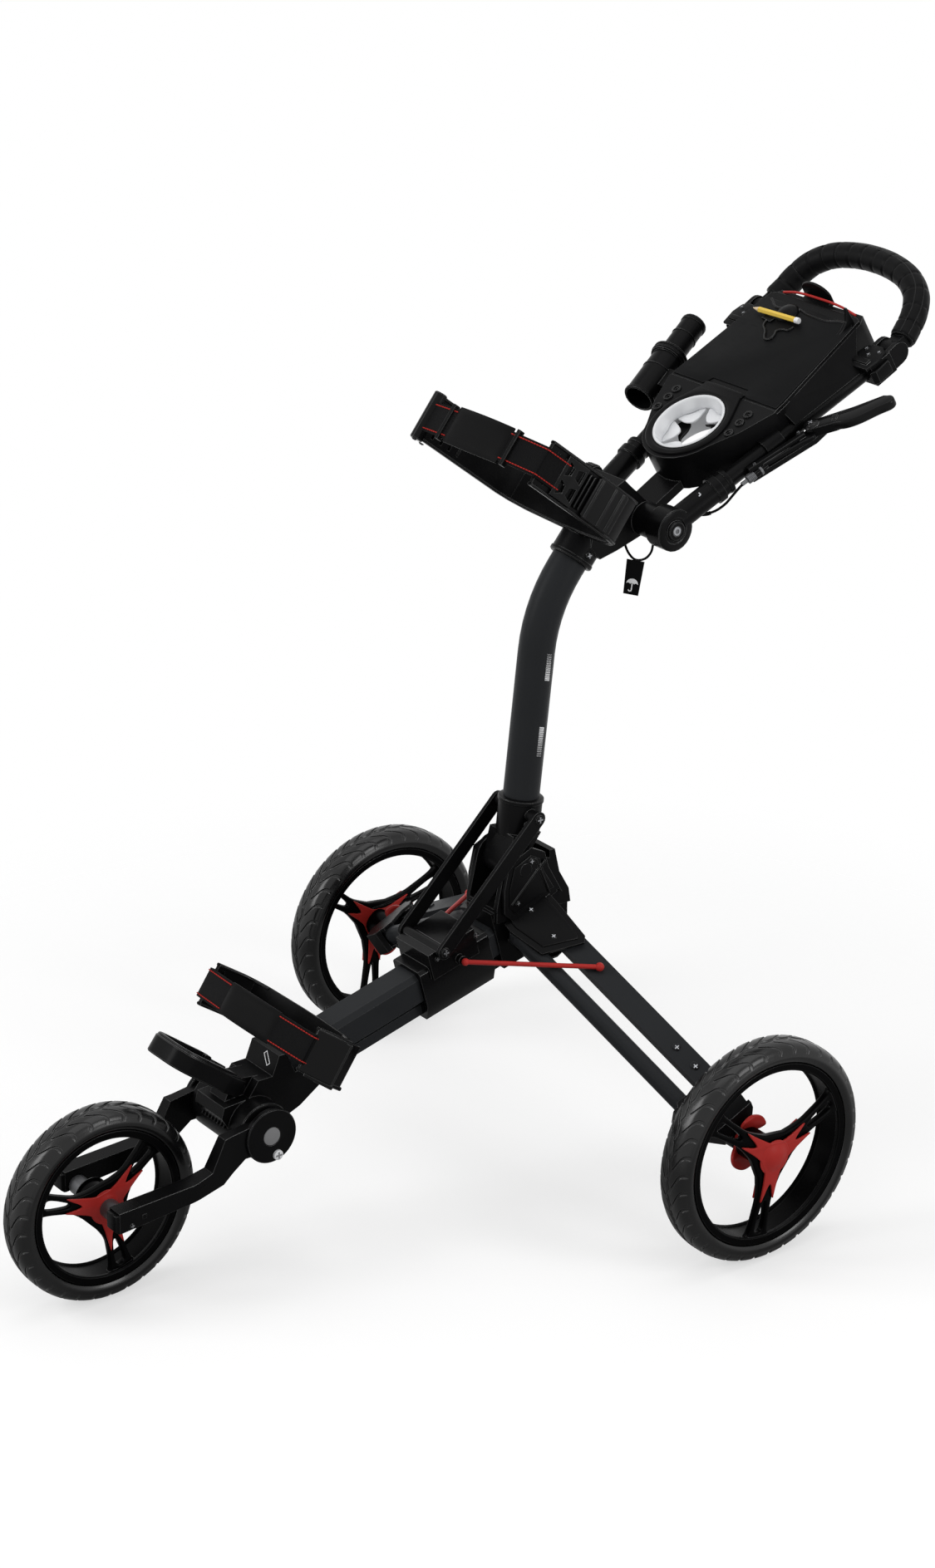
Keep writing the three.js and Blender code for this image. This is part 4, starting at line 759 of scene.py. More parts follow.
def ring(seed, count, place, material, start=0.0):
    return copies(RING, mesh_of([], []), seed, place, material, Count=count, Start=math.radians(start))


def spots(seed, marks, place, material):
    """marks are (point, facing, size)."""
    base = mesh_of([m[0] for m in marks], [])
    for name, kind in (("facing", "FLOAT_VECTOR"), ("size", "FLOAT")):
        base.attributes.new(name, kind, "POINT")
    for i, (_, way, scale) in enumerate(marks):
        base.attributes["facing"].data[i].vector = way
        base.attributes["size"].data[i].value = scale
    return copies(SPOTS, base, seed, place, material)


def along(seed, path, spacing, place, material):
    base = bpy.data.meshes.new("line")
    base.from_pydata(path, [(i, i + 1) for i in range(len(path) - 1)], [])
    return copies(ALONG, base, seed, place, material, Spacing=spacing)


print("trees:", RING.name, "|", SPOTS.name, "|", ALONG.name)

# %% [markdown]
# ## Wheels
# Each foam tyre is a rounded ring with a raised tread: broad lugs that start as a hook at the middle of the
# tread and run out over the shoulder, with a narrow groove between two of them. The left and right rows are
# half a pitch apart.

# %% Tyre sections and one lug
TYRE_HALF, TREAD, LUG_GAP = 23.75, 1.9, 3.4
SHOULDER = [(0, 0), (8, 0.3), (13, 1.2), (17, 3.0), (20.4, 6.0), (22.7, 10.0), (23.6, 14.5), (23.2, 18.5)]


def drop_at(x):
    """How far the tyre's outside lies below its radius, at x from its middle plane."""
    for (x0, d0), (x1, d1) in zip(SHOULDER, SHOULDER[1:6]):
        if x <= x1:
            return d0 + (d1 - d0) * (x - x0) / (x1 - x0)
    return 14.5


def tyre_body(radius, place):
    def lowered(drop):
        return radius - drop - TREAD * max(0.0, min(1.0, (14.0 - drop) / 4.0))

    half = [(lowered(drop), x) for x, drop in SHOULDER]
    inner = [(radius - 22.6, 20.6), (radius - 22.8, 12)]
    right = half + inner
    profile = [(r, -x) for r, x in reversed(right)] + right[1:]
    return lathe(profile, 128, place, closed=True)


def lug(radius, pitch, side):
    """One lug as a cushion with soft edges: u runs round the tyre, v from the middle to the shoulder."""
    wide = pitch - LUG_GAP
    across = [0, 0.5, 1.1, 2.0, 0.5 * wide, wide - 2.0, wide - 1.1, wide - 0.5, wide]
    out = [0, 0.5, 1.1, 2.2, 4.5, 7.5, 10.5, 13.5, 16.0, 18.2, 19.8, 20.8, 21.4]
    corners = []
    for u in across:
        start = 1.0 + 2.6 * abs(2 * u / wide - 1)
        for v in out:
            x = start + v * (TYRE_HALF - 1.1 - start) / out[-1]
            hook = 26 * (1 - x / TYRE_HALF) ** 1.7 + 3.2 * math.sin(math.pi * 2 * x / TYRE_HALF)
            edge = min(u, wide - u, v, out[-1] - v)
            rise = TREAD * min(1.0, edge / 1.1) ** 0.6
            turn = (u + hook) / radius
            reach = radius - drop_at(x) - TREAD - 0.25 + rise + 0.25 * min(1.0, edge)
            corners.append((reach * math.cos(turn), reach * math.sin(turn), side * x))
    faces = grid(len(across), len(out), across=False)
    return mesh_of(corners, faces if side > 0 else [face[::-1] for face in faces])


def tyre(radius, count, place):
    pitch = 2 * math.pi * radius / count
    rows = [ring(lug(radius, pitch, side), count, place, foam, start=half * 180 / count)
            for side, half in ((1, 0), (-1, 1))]
    return [tyre_body(radius, place), *rows]


# %% Tyres
FRONT_R, FRONT_LUGS = 121, 32
REAR_R, REAR_LUGS = 140, 37
AXLE_BACK = 674.6
FRONT = side_on(0, 0, FRONT_R)
REAR = side_on(384.5, AXLE_BACK, REAR_R)
piece("tread_front", tyre(FRONT_R, FRONT_LUGS, FRONT), foam, "front_wheel", stands_for=["front_tyre"])
on_sides("tread", lambda turn: tyre(REAR_R, REAR_LUGS, turn @ REAR), foam, "rear_wheel_{}",
         stands_for=["rear_tyre_{}"])
print("lugs in each row:", FRONT_LUGS, REAR_LUGS, REAR_LUGS)

# %% [markdown]
# The red cap over each hub looks like a splash: a domed middle with two fingers along each spoke.


# %% Splash caps
SPOKE_IN = 33
DISH_REACH = REAR_R - SPOKE_IN
REAR_DISH = 8
FRONT_FACE, REAR_FACE = 15, 19
FRONT_TURN, REAR_TURN = 42, 22


def dished(data, place, rise):
    """Pushes a wheel part out along the axle, most at the middle and not at all at the barrel."""
    for vertex in data.vertices:
        vertex.co.z += rise * max(0.0, 1 - math.hypot(vertex.co.x, vertex.co.y) / DISH_REACH)
    return moved(data, place)


def splash_outline(first):
    """Two fingers along each of the three spokes, as (angle, radius) from the spoke's middle."""
    fingers = [(-60, 19.5), (-44, 20), (-30, 23.5), (-19, 33), (-12.5, 46), (-9, 59), (-6.8, 50), (-4.5, 40),
               (0, 35), (4.5, 40), (7, 48), (9.3, 56), (12.8, 44), (19, 32), (30, 23.5), (44, 20)]
    outline = []
    for turn in (0, 120, 240):
        outline += [polar(r, first + turn + angle) for angle, r in fingers]
    return smooth_line(outline, 4, closed=True)


def splash_plate(low, first, place, rise):
    return dished(slab(splash_outline(first), low, low + 2.8, FLAT, edge=1.1, steps=3), place, rise)


def splash(face, first, place, rise=0.0):
    low = face + 0.3
    dome = [(22, low + 1), (22, low + 2.0), (19, low + 2.4), (15, low + 3.6), (11, low + 5.4), (6, low + 6.3),
            (0, low + 6.5)]
    return [splash_plate(low, first, place, rise), dished(lathe(dome, 40), place, rise)]


piece("splash_front_left", splash(FRONT_FACE, FRONT_TURN, FRONT), red_plastic, "front_wheel",
      stands_for=["front_hub_cap_left"])
far_cap = [(0, 18.3), (22, 18.3), (22, 18.8), (20, 21.4), (15, 23.8), (8, 25.2), (0, 25.5)]
piece("front_far_cap", lathe(far_cap, 40, MIRROR @ FRONT), gloss_plastic, "front_wheel",
      stands_for=["front_hub_cap_right"])
on_sides("splash", lambda turn: splash(REAR_FACE, REAR_TURN, turn @ REAR, REAR_DISH), red_plastic,
         "rear_wheel_{}", stands_for=["hub_cap_{}"])
on_sides("inner_splash", lambda turn: splash_plate(REAR_FACE - 13.1, REAR_TURN, turn @ REAR, REAR_DISH),
         red_plastic, "rear_wheel_{}")
print("splash caps: 5, and a plain cap on the front wheel's far side")

# %% [markdown]
# The wheel itself has a wide barrel with a bead at each edge, and three webbed spokes that open into two
# prongs.


# %% Rims
def barrel(radius, place):
    out, inner, half = radius - 23.3, radius - 32.0, 20.2
    left = [(inner, 0), (inner + 0.4, half - 7), (inner - 1.6, half - 4.5), (inner - 1.8, half - 1.5),
            (inner, half), (out - 1.4, half + 0.5), (out, half - 1.4)]
    profile = [(r, -x) for r, x in reversed(left)] + left[1:]
    return lathe(profile[::-1], 112, place, closed=True)


def spoke_outline(reach, first):
    """The outside of all three spokes as one smooth ring, and the slot of each spoke."""
    bar = [(reach * share, -y) for share, y in ((0.5, 11), (0.7, 11.4), (0.85, 12.6), (0.95, 14.5))]
    flank = [(27, -17), *bar, (reach + 1.5, -19)]
    half_slot = [(reach * share, -y) for share, y in ((0.58, 2.4), (0.7, 4.6), (0.84, 6.2), (0.93, 5.4))]
    slot = [(reach * 0.55, 0), *half_slot, (reach * 0.955, 0), *[(x, -y) for x, y in reversed(half_slot)]]
    outline, slots = [], []
    for turn in (0, 120, 240):
        a = math.radians(first + turn)

        def turned(points):
            return [(x * math.cos(a) - y * math.sin(a), x * math.sin(a) + y * math.cos(a)) for x, y in points]

        right = smooth_line(flank, 4)
        left = [(x, -y) for x, y in reversed(right)]
        outline += turned(right + left)
        slots.append(smooth_line(turned(slot), 3, closed=True))
    return outline, slots


def rim(radius, hub_in, face, first, place, rise=0.0):
    outline, slots = spoke_outline(radius - SPOKE_IN, first)
    spokes = slab(outline, face - 10, face, FLAT, edge=2.4, holes=slots, steps=3)
    top = face - 0.7 + rise * 0.82
    hub = [(6.6, -hub_in), (17, -hub_in), (19, -hub_in + 2), (19, top - 2.8), (17, top), (6.6, top)]
    return [barrel(radius, place), dished(spokes, place, rise), lathe(hub, 40, place, closed=True)]


piece("rim_front", rim(FRONT_R, 17.8, FRONT_FACE, FRONT_TURN, FRONT), wheel_plastic, "front_wheel",
      stands_for=["front_rim"])
on_sides("rim", lambda turn: rim(REAR_R, 22.3, REAR_FACE, REAR_TURN, turn @ REAR, REAR_DISH), wheel_plastic,
         "rear_wheel_{}", stands_for=["rear_rim_{}"])
print("rims: 3")

# %% [markdown]
# ## Small hardware
# One domed screw with a cross cut in its head serves the whole cart, at the size that each place needs.


# %% Screw seeds
SCREW_R, SCREW_TALL = 4.0, 1.8


def screw_head(r, tall):
    dome = [(r, 0), (0.94 * r, 0.45 * tall), (0.66 * r, 0.85 * tall), (0.3 * r, tall), (0, tall)]
    return lathe(dome, 24)


def screw_cross(r, tall):
    """The bright cross in a head of radius r, just proud of its top."""
    long, wide = 0.66 * r, 0.15 * r
    top = [(long, wide), (wide, wide), (wide, long), (-wide, long), (-wide, wide), (-long, wide)]
    plus = top + [(-x, -y) for x, y in top]
    return slab(plus, tall - 0.3, tall + 0.25, FLAT, edge=0.05, steps=0)


def screws(name, marks, place, body):
    """Screws on marks of (point, facing, size)."""
    for ending, seed, material in (("", screw_head, gloss_plastic), ("_cross", screw_cross, bright_steel)):
        piece(name + ending, spots(seed(SCREW_R, SCREW_TALL), marks, place, material), material, body)


def both_walls(places):
    """Marks at (x, y, z, size) that face left, and their mirror images that face right."""
    return [((s * x, y, z), (s, 0, 0), size) for s in (1, -1) for x, y, z, size in places]


LEFT, UP = (1, 0, 0), (0, 0, 1)
print("screw seeds are ready")

# %% [markdown]
# ## Fork and lower bracket
# The fork arms are box tubes with a dark plug in their noses. The bracket between them carries a big disc
# with a grey cap, a small white cap beside it, ribs over the pivot, and the empty frame of a label.

# %% Fork
FORK_Y, FORK_Z = 195, 173
nose = [(-21, 118), (-17, 114.5), (24, 116.5), (24, 137), (-21, 139)]
square = rectangle(14, 125, 20, 131)
cap = [(11.5, -0.5), (11.2, 0.6), (9.5, 1.6), (0, 1.6)]
on_sides("fork_nose", lambda turn: slab(nose, 50.4, 71.6, turn @ SIDE, edge=1.6), plastic, "fork")
screws("fork_axle_screw", both_walls([(72, 0, FRONT_R, 0.9)]), CART, "fork")
on_sides("fork_square", lambda turn: slab(square, 71.4, 72.5, turn @ SIDE, edge=0.3, steps=1), plastic,
         "fork")
on_sides("fork_pivot_cap", lambda turn: lathe(cap, 40, turn @ side_on(69, FORK_Y, FORK_Z)), grey_plastic,
         "fork")
print("fork: noses, squares, pivot caps")

# %% Lower bracket
FORK_PIVOT = side_on(0, FORK_Y, FORK_Z)
disc = [(34.2, 51.6), (34.2, 53.2), (32.6, 54.1), (28, 54.3), (27, 53.4), (12.4, 53.4), (12.4, 51.6)]
flange = [(12, 62), (33, 62), (34.2, 63.2), (34.2, 68.6), (33.2, 69.6), (12, 69.6)]
white_cap = [(6.4, 0), (6.2, 2.8), (5.0, 3.6), (0, 3.6)]
cap_place = side_on(69.4, FORK_Y + 7, FORK_Z - 26)
on_sides("bracket_disc", lambda turn: lathe(disc, 72, turn @ FORK_PIVOT), plastic, "chassis")
on_sides("fork_flange", lambda turn: lathe(flange, 72, turn @ FORK_PIVOT, closed=True), plastic, "fork")
piece("fork_white_cap", lathe(white_cap, 28, cap_place), white_plastic, "fork")
piece("fork_white_cross", moved(screw_cross(6.5, 3.6), cap_place), grey_plastic, "fork")
rib = slab([(0, 0), (0, 30), (2.6, 30), (2.6, 0)], -2, 2.4, FLAT, edge=0.7)
OVER_PIVOT = turned_frame((-24, 158, 176), (1, 0, 0), (0, 0.55, 0.83))
piece("bracket_ribs", along(rib, [(0, 0, 0), (46, 0, 0)], 6.4, OVER_PIVOT, plastic), plastic, "chassis")
LABEL = turned_frame((9, 229.8, 240.0), (0.72, -0.267, -0.641), (0.695, 0.277, 0.665))
label_edge, label_hole = rectangle(-8.6, -3.4, 8.6, 3.4), rectangle(-7.5, -2.3, 7.5, 2.3)[::-1]
piece("label_frame", slab(label_edge, -0.2, 0.35, LABEL, edge=0.1, holes=[label_hole], steps=0), white_print,
      "chassis")
print("lower bracket: disc, caps, ribs and label frame")

# %% [markdown]
# The U-shaped rest has a raised lip round its inside and a pair of thick cheeks at its hinge.

# %% Bag rest
HINGE = (0, 180, 222)
HOOP = turned_frame(HINGE, *leaning(38, (-1, 0, 0), -1))
HOOP_PIN = side_on(*HINGE)


def hoop_line(half, reach, corner, foot):
    """A U with rounded corners, from one foot round to the other."""
    bow = [(half - corner + x, reach - corner + y) for x, y in (polar(corner, a) for a in range(0, 91, 15))]
    right = [(21, foot), (half - 2, 24), (half, 32)] + bow
    return right + mirrored(right)


hoop_band = band(hoop_line(35, 108, 20, -4), 11.5, 7.2, HOOP, corner=1.6)
hoop_lip = band(hoop_line(33, 106, 19, 26), 3.0, 9.0, HOOP, low=8.2, corner=1.2)
hoop_ends = [slab(round_points(9, 20), x, x + 7, HOOP_PIN, edge=1.2) for x in (17.4, -24.4)]
hoop_pin = slab(round_points(3, 16), -20, 20, HOOP_PIN, edge=0.4)
piece("bag_rest", [hoop_band, hoop_lip, *hoop_ends, hoop_pin], plastic, "bag_stop", smooth=40,
      stands_for=["bag_stop_hoop"])
print("bag rest with its lip")

# %% [markdown]
# ## Cradles and straps
# Each cradle is a moulded band with a raised rim along both edges. A strap of black webbing with two rows of
# red stitches closes it, and a padded sleeve sits on the strap's middle.


# %% Cradle line and its rims
def cradle_line(half, back, arm):
    bend = [(22, -back), (half * 0.75, -back * 0.35), (half * 0.93, back * 0.4)]
    right = bend + [(half, back + 6), (half, arm)]
    return mirrored(right) + right


def cradle_rims(half, back, arm, wide, place, gap=0):
    """A bead along both edges of a cradle, thicker than its band. A gap leaves the middle free."""
    line = cradle_line(half, back, arm)
    lines = [[p for p in line if p[0] < -gap], [p for p in line if p[0] > gap]] if gap else [line]
    edges = (wide / 2 - 4, -wide / 2)
    return [band(path, 2.0, 8.4, place, low=z, corner=1.3) for path in lines for z in edges]


# %% Webbing, stitches and pad
STRAP_OUT, STRAP_TIP, STRAP_CROWN = 4.4, 3.3, 11
WEBBING_HALF, WEBBING_THICK = 19, 2.6
STITCH_OUT, STITCH_INSET, UNDER_PAD = 1.7, 3.4, 50


def strap_line(half, arm):
    """Over the end of one arm, across to the other and down again, with the crown in the middle."""
    x, tip = half + STRAP_OUT, arm + STRAP_TIP
    right = [(x, arm - 34), (x, tip - 4), (x - 1.2, tip - 0.6), (x - 5, tip + 2), (half * 0.5, tip + 9),
             (half * 0.25, tip + 10.6)]
    flat = smooth_line(right, 5)
    return flat + [(0, tip + STRAP_CROWN)] + mirrored(flat)


def stitches(path, place):
    """Two rows of short stitches on the outside of the webbing, which stop under the pad."""
    rows = []
    seed = tube([(-1.7, 0, 0), (1.7, 0, 0)], 0.72, FLAT, sides=1, smooth=1)
    for z in (WEBBING_HALF - STITCH_INSET, STITCH_INSET - WEBBING_HALF):
        for sign in (1, -1):
            line = []
            for i, (x, y) in enumerate(path):
                way = way_along(path, i)
                if abs(x) >= UNDER_PAD and (sign > 0) == (x > 0):
                    line.append((x + way.y * STITCH_OUT, y - way.x * STITCH_OUT, z))
            rows.append(along(seed.copy(), line, 4.6, place, red_thread))
    bpy.data.meshes.remove(seed)
    return rows


def pad(name, arm, wide, tall, place, body):
    """A sewn sleeve: a crowned cushion with a welt round it, on the strap's middle."""
    tip = arm + STRAP_TIP + STRAP_CROWN
    across, up = 18, 10
    corners, faces = [], []
    for side in (1, -1):
        first = len(corners)
        for i in range(across + 1):
            u = 2 * i / across - 1
            for k in range(up + 1):
                v = 2 * k / up - 1
                puff = (1 - abs(u) ** 5) ** 0.5 * (1 - abs(v) ** 4) ** 0.5
                pull = 1 - 0.02 * (u * u) * (v * v)
                thick = 1.2 + 3.1 * puff
                corners.append((u * wide / 2 * pull, tip - 1.5 * u * u + side * thick, v * tall / 2 * pull))
        for i in range(across):
            for k in range(up):
                a = first + i * (up + 1) + k
                quad = (a, a + 1, a + up + 2, a + up + 1)
                faces.append(quad if side > 0 else quad[::-1])
    row = up + 1
    count = (across + 1) * row
    border = [*range(row), *range(row + up, count, row)]
    border += [*range(count - 2, across * row - 1, -1), *range((across - 1) * row, 0, -row)]
    for a, b in zip(border, border[1:] + border[:1]):
        faces.append((a, b, b + count, a + count)[::-1])
    made = piece(name, mesh_of(corners, faces, place), soft_rubber, body, smooth=60)


def strap(name, half, arm, pad_wide, pad_tall, place, body):
    """The webbing that closes a cradle, its stitches and its pad."""
    path = strap_line(half, arm)
    piece(f"{name}_webbing", band(path, WEBBING_HALF, WEBBING_THICK, place), webbing, body,
          stands_for=[f"{name}_strap"])
    piece(f"{name}_stitches", stitches(path, place), red_thread, body)
    pad(f"{name}_pad", arm, pad_wide, pad_tall, place, body)


def strap_buckle(half, arm, place):
    """A ladder buckle round the webbing at the tip of one arm, with a pin across it."""
    across = place @ Matrix.Translation((half + STRAP_OUT, arm - 12, 0)) @ ON_EDGE
    wide = WEBBING_HALF + 2.5
    outline = [(-5, -wide - 3), (5, -wide - 3), (6, -wide - 1), (6, wide + 1), (5, wide + 3), (-5, wide + 3),
               (-6, wide + 1), (-6, -wide - 1)]
    hole = rectangle(-2.6, 1 - wide, 2.6, wide - 1)
    return [slab(outline, 2.2, 5.2, across, edge=1.0, holes=[hole]),
            tube([(0, -wide - 5, 3.6), (0, wide + 5, 3.6)], 2.4, across, smooth=1)]


print("cradle and strap tools")

# %% Lower cradle and strap
L_HALF, L_BACK, L_ARM = 106, 12, 62
piece("lower_cradle_rims", cradle_rims(L_HALF, L_BACK, L_ARM, 56, LOWER, gap=34), plastic, "chassis")
strap("lower", L_HALF, L_ARM, 102, 41, LOWER, "chassis")
piece("lower_buckles", strap_buckle(L_HALF, L_ARM, LOWER), plastic, "chassis")
wedge = [(-105, -6), (-111.5, -4), (-112.8, 4), (-112.8, 19), (-130, 24), (-132, 29), (-129, 34), (-112, 62),
         (-108.5, 64), (-107, 40)]
flare = [(-100, -12), (-111, -8), (-112.8, 18), (-133, 25), (-112, 56), (-104, 40)]
piece("lower_wedge", [slab(wedge, -27, 27, LOWER, edge=2.2, steps=3),
                      slab(flare, -31, -26, LOWER, edge=1.4)], gloss_plastic, "chassis", smooth=50)
print("lower cradle, strap, stitches, pad and buckles")

# %% [markdown]
# ## Hub and legs
# The covers over the hub carry raised panels, ribs and cross screws. The flat struts end in bigger screws,
# and each push rod ends in a ball.

# %% Hub panels and screws
COLUMN_PIVOT = side_on(0, 590, 397)
tilted = [(-45, -38), (-41, -43), (-27, -44), (14, -36), (33, 4), (28, 7), (-14, 11), (-38, 12), (-45, 5)]
upright = [(-24, -44), (-16, -54), (20, -41), (44, -34), (28, -8), (22, 10), (8, 18), (-17, 7), (-24, -20)]
hub_ribs = [[(-22, -40), (-19, -42), (30, 4), (28, 8)], [(34, -38), (37, -38), (16, 12), (13, 12)]]


def hub_panels(turn):
    """Raised panels on the leg's cover and on the wall beside the column."""
    leg, wall = turn @ LEG, turn @ COLUMN_PIVOT
    return [slab(tilted, 14.8, 17.4, leg, edge=1.2),
            slab([(-50, -20), (-47, -20), (-47, 14), (-50, 12)], 14.5, 19, leg, edge=1.0),
            slab(upright, 36.2, 38.6, wall, edge=1.1),
            *[slab(outline, 38, 40.4, wall, edge=0.9) for outline in hub_ribs]]


on_sides("hub_panels", hub_panels, plastic, "chassis")
plate_marks = [((-33, -14, 17.2), UP, 1.0), ((12, -17, 17.2), UP, 1.0)]
for side_name, turn in SIDES:
    screws(f"hub_plate_screw_{side_name}", plate_marks, turn @ LEG, "chassis")
screws("hub_cover_screw", both_walls([(38.4, 598, 407, 1.1), (38.4, 578, 356, 0.9)]), CART, "chassis")
strut_ends = both_walls([(42.4, 465.8, 323.5, 1.5), (42.4, 606.5, 461, 1.5)])
screws("strut_screw_left", strut_ends[:2], CART, "strut_left")
screws("strut_screw_right", strut_ends[2:], CART, "strut_right")
BALL_AT = Matrix.Translation((77, 0, 12))
ball = [(0, -2.7), (4.2, -2.7), (5.3, -1.4), (5.6, 0.3), (4.9, 2.8), (2.8, 4.9), (0, 5.6)]
on_sides("push_rod_ball", lambda turn: lathe(ball, 28, turn @ LEG @ BALL_AT), red_coat, "push_rod_{}")
leg_marks = [((x, 0, 6.8), UP, 1.15) for x in (215.6, 248.6)]
for side_name, turn in SIDES:
    screws(f"leg_screw_{side_name}", leg_marks, turn @ LEG, f"leg_{side_name}")
print("hub: panels and screws")

# %% Release tabs
RING_IN, RING_OUT = 354.3, 360.5


def release_lobes(turn):
    """Two rounded thumb lobes on a ring round the axle, bent out towards the wheel."""
    place = turn @ side_on(0, AXLE_BACK, REAR_R)
    half_lobe = [(12, 50), (17, 40), (24, 40), (31, 33), (35, 12)]
    lobe = [(r, -a) for r, a in half_lobe] + half_lobe[::-1]
    section = [(8, RING_IN), (14, RING_IN), (15, RING_IN + 1), (15, RING_OUT - 1), (14, RING_OUT),
               (8, RING_OUT)]
    made = [lathe(section, 40, place, closed=True)]
    for first in (72, 242):
        edge = smooth_line([polar(r, first + a) for r, a in lobe], 4, closed=True)
        bent = slab(edge, RING_IN, RING_OUT, FLAT, edge=2.2, steps=3)
        for vertex in bent.vertices:
            vertex.co.z += 9 * max(0.0, min(1.0, (math.hypot(vertex.co.x, vertex.co.y) - 16) / 14))
        made.append(moved(bent, place))
    return made


on_sides("release_lobes", release_lobes, red_plastic, "release_tab_{}", smooth=50,
         stands_for=["release_tab_{}"])
print("release tabs")

# %% Carriage
TUBE_LEAN, TUBE_Y, TUBE_Z = math.radians(14.5), 294, 254
on_tube = [(33, TUBE_Y + math.cos(TUBE_LEAN) * u, TUBE_Z + math.sin(TUBE_LEAN) * u + 16, 1.0)
           for u in (172, 232)]
screws("carriage_screw", both_walls(on_tube), CART, "carriage")
print("carriage screws")

# %% [markdown]
# ## Column
# A collar with a domed screw ends the sleeve at each end of the bent tube. Two short groups of fine white
# strokes are printed low on the near side.

# %% Collars, screws and printed strokes
FOOT, FOOT_LEAN = Vector((0, 605, 425)), math.radians(6.8)
HEAD, HEAD_LEAN = Vector((0, 675.15, 756.88)), math.radians(40)
SLEEVE_R, TUBE_R = 27, 22.55


def up_the(lean):
    return Vector((0, math.sin(lean), math.cos(lean)))


def round_the_column(base, lean, up, radius, turn):
    """A place on the column and its facing: up mm along it from base, turned from the left to the front."""
    front = Vector((0, -math.cos(lean), math.sin(lean)))
    out = Vector(LEFT) * math.cos(turn) + front * math.sin(turn)
    return tuple(base + up_the(lean) * up + out * radius), tuple(out)


collar = [(25, 0), (27.6, 0.2), (28.2, 1.0), (28.2, 4.6), (27.6, 5.4), (22, 6.6)]
collar_down = [(r, 8 - z) for r, z in reversed(collar)]
piece("column_collars", [
    lathe(collar, 64, aimed(CART, FOOT + up_the(FOOT_LEAN) * 47, up_the(FOOT_LEAN))),
    lathe(collar_down, 64, aimed(CART, HEAD + up_the(HEAD_LEAN) * 9, up_the(HEAD_LEAN))),
], plastic, "column")
marks = [(*round_the_column(FOOT, FOOT_LEAN, 24, SLEEVE_R, s), 1.3) for s in (0.25, math.pi - 0.25)]
marks += [(*round_the_column(HEAD, HEAD_LEAN, 24, SLEEVE_R, s), 1.2) for s in (0.05, math.pi - 0.05)]
screws("column_screw", marks, CART, "column")


def strokes(first, count, way):
    """Fine strokes across the tube's near side, thinner one by one."""
    made = []
    for i in range(count):
        up = first + way * 1.9 * i
        line = [round_the_column(FOOT, FOOT_LEAN, up + 1.6 * t, TUBE_R, -0.30 + 0.34 * t)[0]
                for t in (0, 0.25, 0.5, 0.75, 1)]
        made.append(tube(line, 0.55 * (1 - i / count) + 0.12, CART, sides=0, smooth=1))
    return made


piece("column_strokes", strokes(145, 20, -1) + strokes(205, 18, 1), white_print, "column")
print("column: collars, screws, strokes")

# %% [markdown]
# ## Upper cradle
# The near arm carries a ribbed plate and a latticed end that the strap passes through. The far end of the
# strap goes round a roller. A ribbed knob behind the cradle turns its joint.

# %% Cradle rims, plate and lattice
U_HALF, U_BACK, U_ARM = 106, 18, 168
near_arm, far_arm = arm_face(UPPER, -1, 108.6), arm_face(UPPER, 1, 108.6)
piece("upper_cradle_rims", cradle_rims(U_HALF, U_BACK, U_ARM, 58, UPPER), plastic, "column")
plate_outline = [(-24, 30), (-26, 34), (-26, 80), (-23, 84), (23, 84), (26, 80), (26, 34), (24, 30)]
rungs = [slab(rectangle(-24, y, 24, y + 3), 3.4, 6.2, near_arm, edge=1.0) for y in (38, 52, 76)]
fins = [slab([(-22, y), (22, y), (20, y + 2), (-20, y + 2)], -0.5, 4.0, near_arm, edge=0.7) for y in (90, 97)]
cells = [[(-20, 107), (-3, 107), (-6.5, 117), (-16, 118)], [(3, 107), (20, 107), (16, 118), (6.5, 117)],
         [(-16, 124), (-6.5, 125), (-3, 134), (-20, 134)], [(6.5, 125), (16, 124), (20, 134), (3, 134)]]
for arm in (near_arm, far_arm):
    rungs.append(slab(rectangle(-25, 103, 25, 140), -0.8, 3.4, arm, edge=0.8, holes=[c[::-1] for c in cells]))
piece("upper_arm_plates", [slab(plate_outline, -0.5, 4.2, near_arm, edge=1.4), *rungs, *fins], gloss_plastic,
      "column")
print("upper cradle: rims, plate, lattice")

# %% Upper strap
strap("upper", U_HALF, U_ARM, 104, 47, UPPER, "column")


def strap_loop(x, y, place):
    """A flat keeper round the webbing at x, with its middle at y."""
    inside = rectangle(-20, y - 1.8, 20, y + 1.8)[::-1]
    return slab(rectangle(-23, y - 4, 23, y + 4), -3, 3, arm_face(place, -1, -x), edge=1.0, holes=[inside])


piece("upper_loops", [strap_loop(-62, 180.2, UPPER), strap_loop(62, 180.2, UPPER)], plastic, "column")
roller = [(0, -31), (7, -31), (8.2, -29.8), (8.2, 29.8), (7, 31), (0, 31)]
piece("upper_roller", lathe(roller, 32, UPPER @ Matrix.Translation((109, 171, 0))), gloss_plastic, "column")
piece("upper_buckles", strap_buckle(U_HALF, U_ARM, UPPER), plastic, "column")
screws("roller_screw", [((112, y, -30.6), (0, 0, -1), 0.9) for y in (158, 171)], UPPER, "column")
print("upper strap: webbing, stitches, pad, loops and roller")

# %% Knob
KNOB = aimed(CART, (-48, 744, 850), LEFT)
tooth = slab([(11.0, -1.1), (13.0, -0.7), (13.0, 0.7), (11.0, 1.1)], 1.5, 15.5, FLAT, edge=0.35, steps=1)
face_ring = [(12, 16.5), (11.5, 18.2), (9, 18.6), (8.4, 17.6), (0, 17.6)]
piece("knob_ribs", [ring(tooth, 22, KNOB, plastic), lathe(face_ring, 40, KNOB)], plastic, "knob")
print("knob")

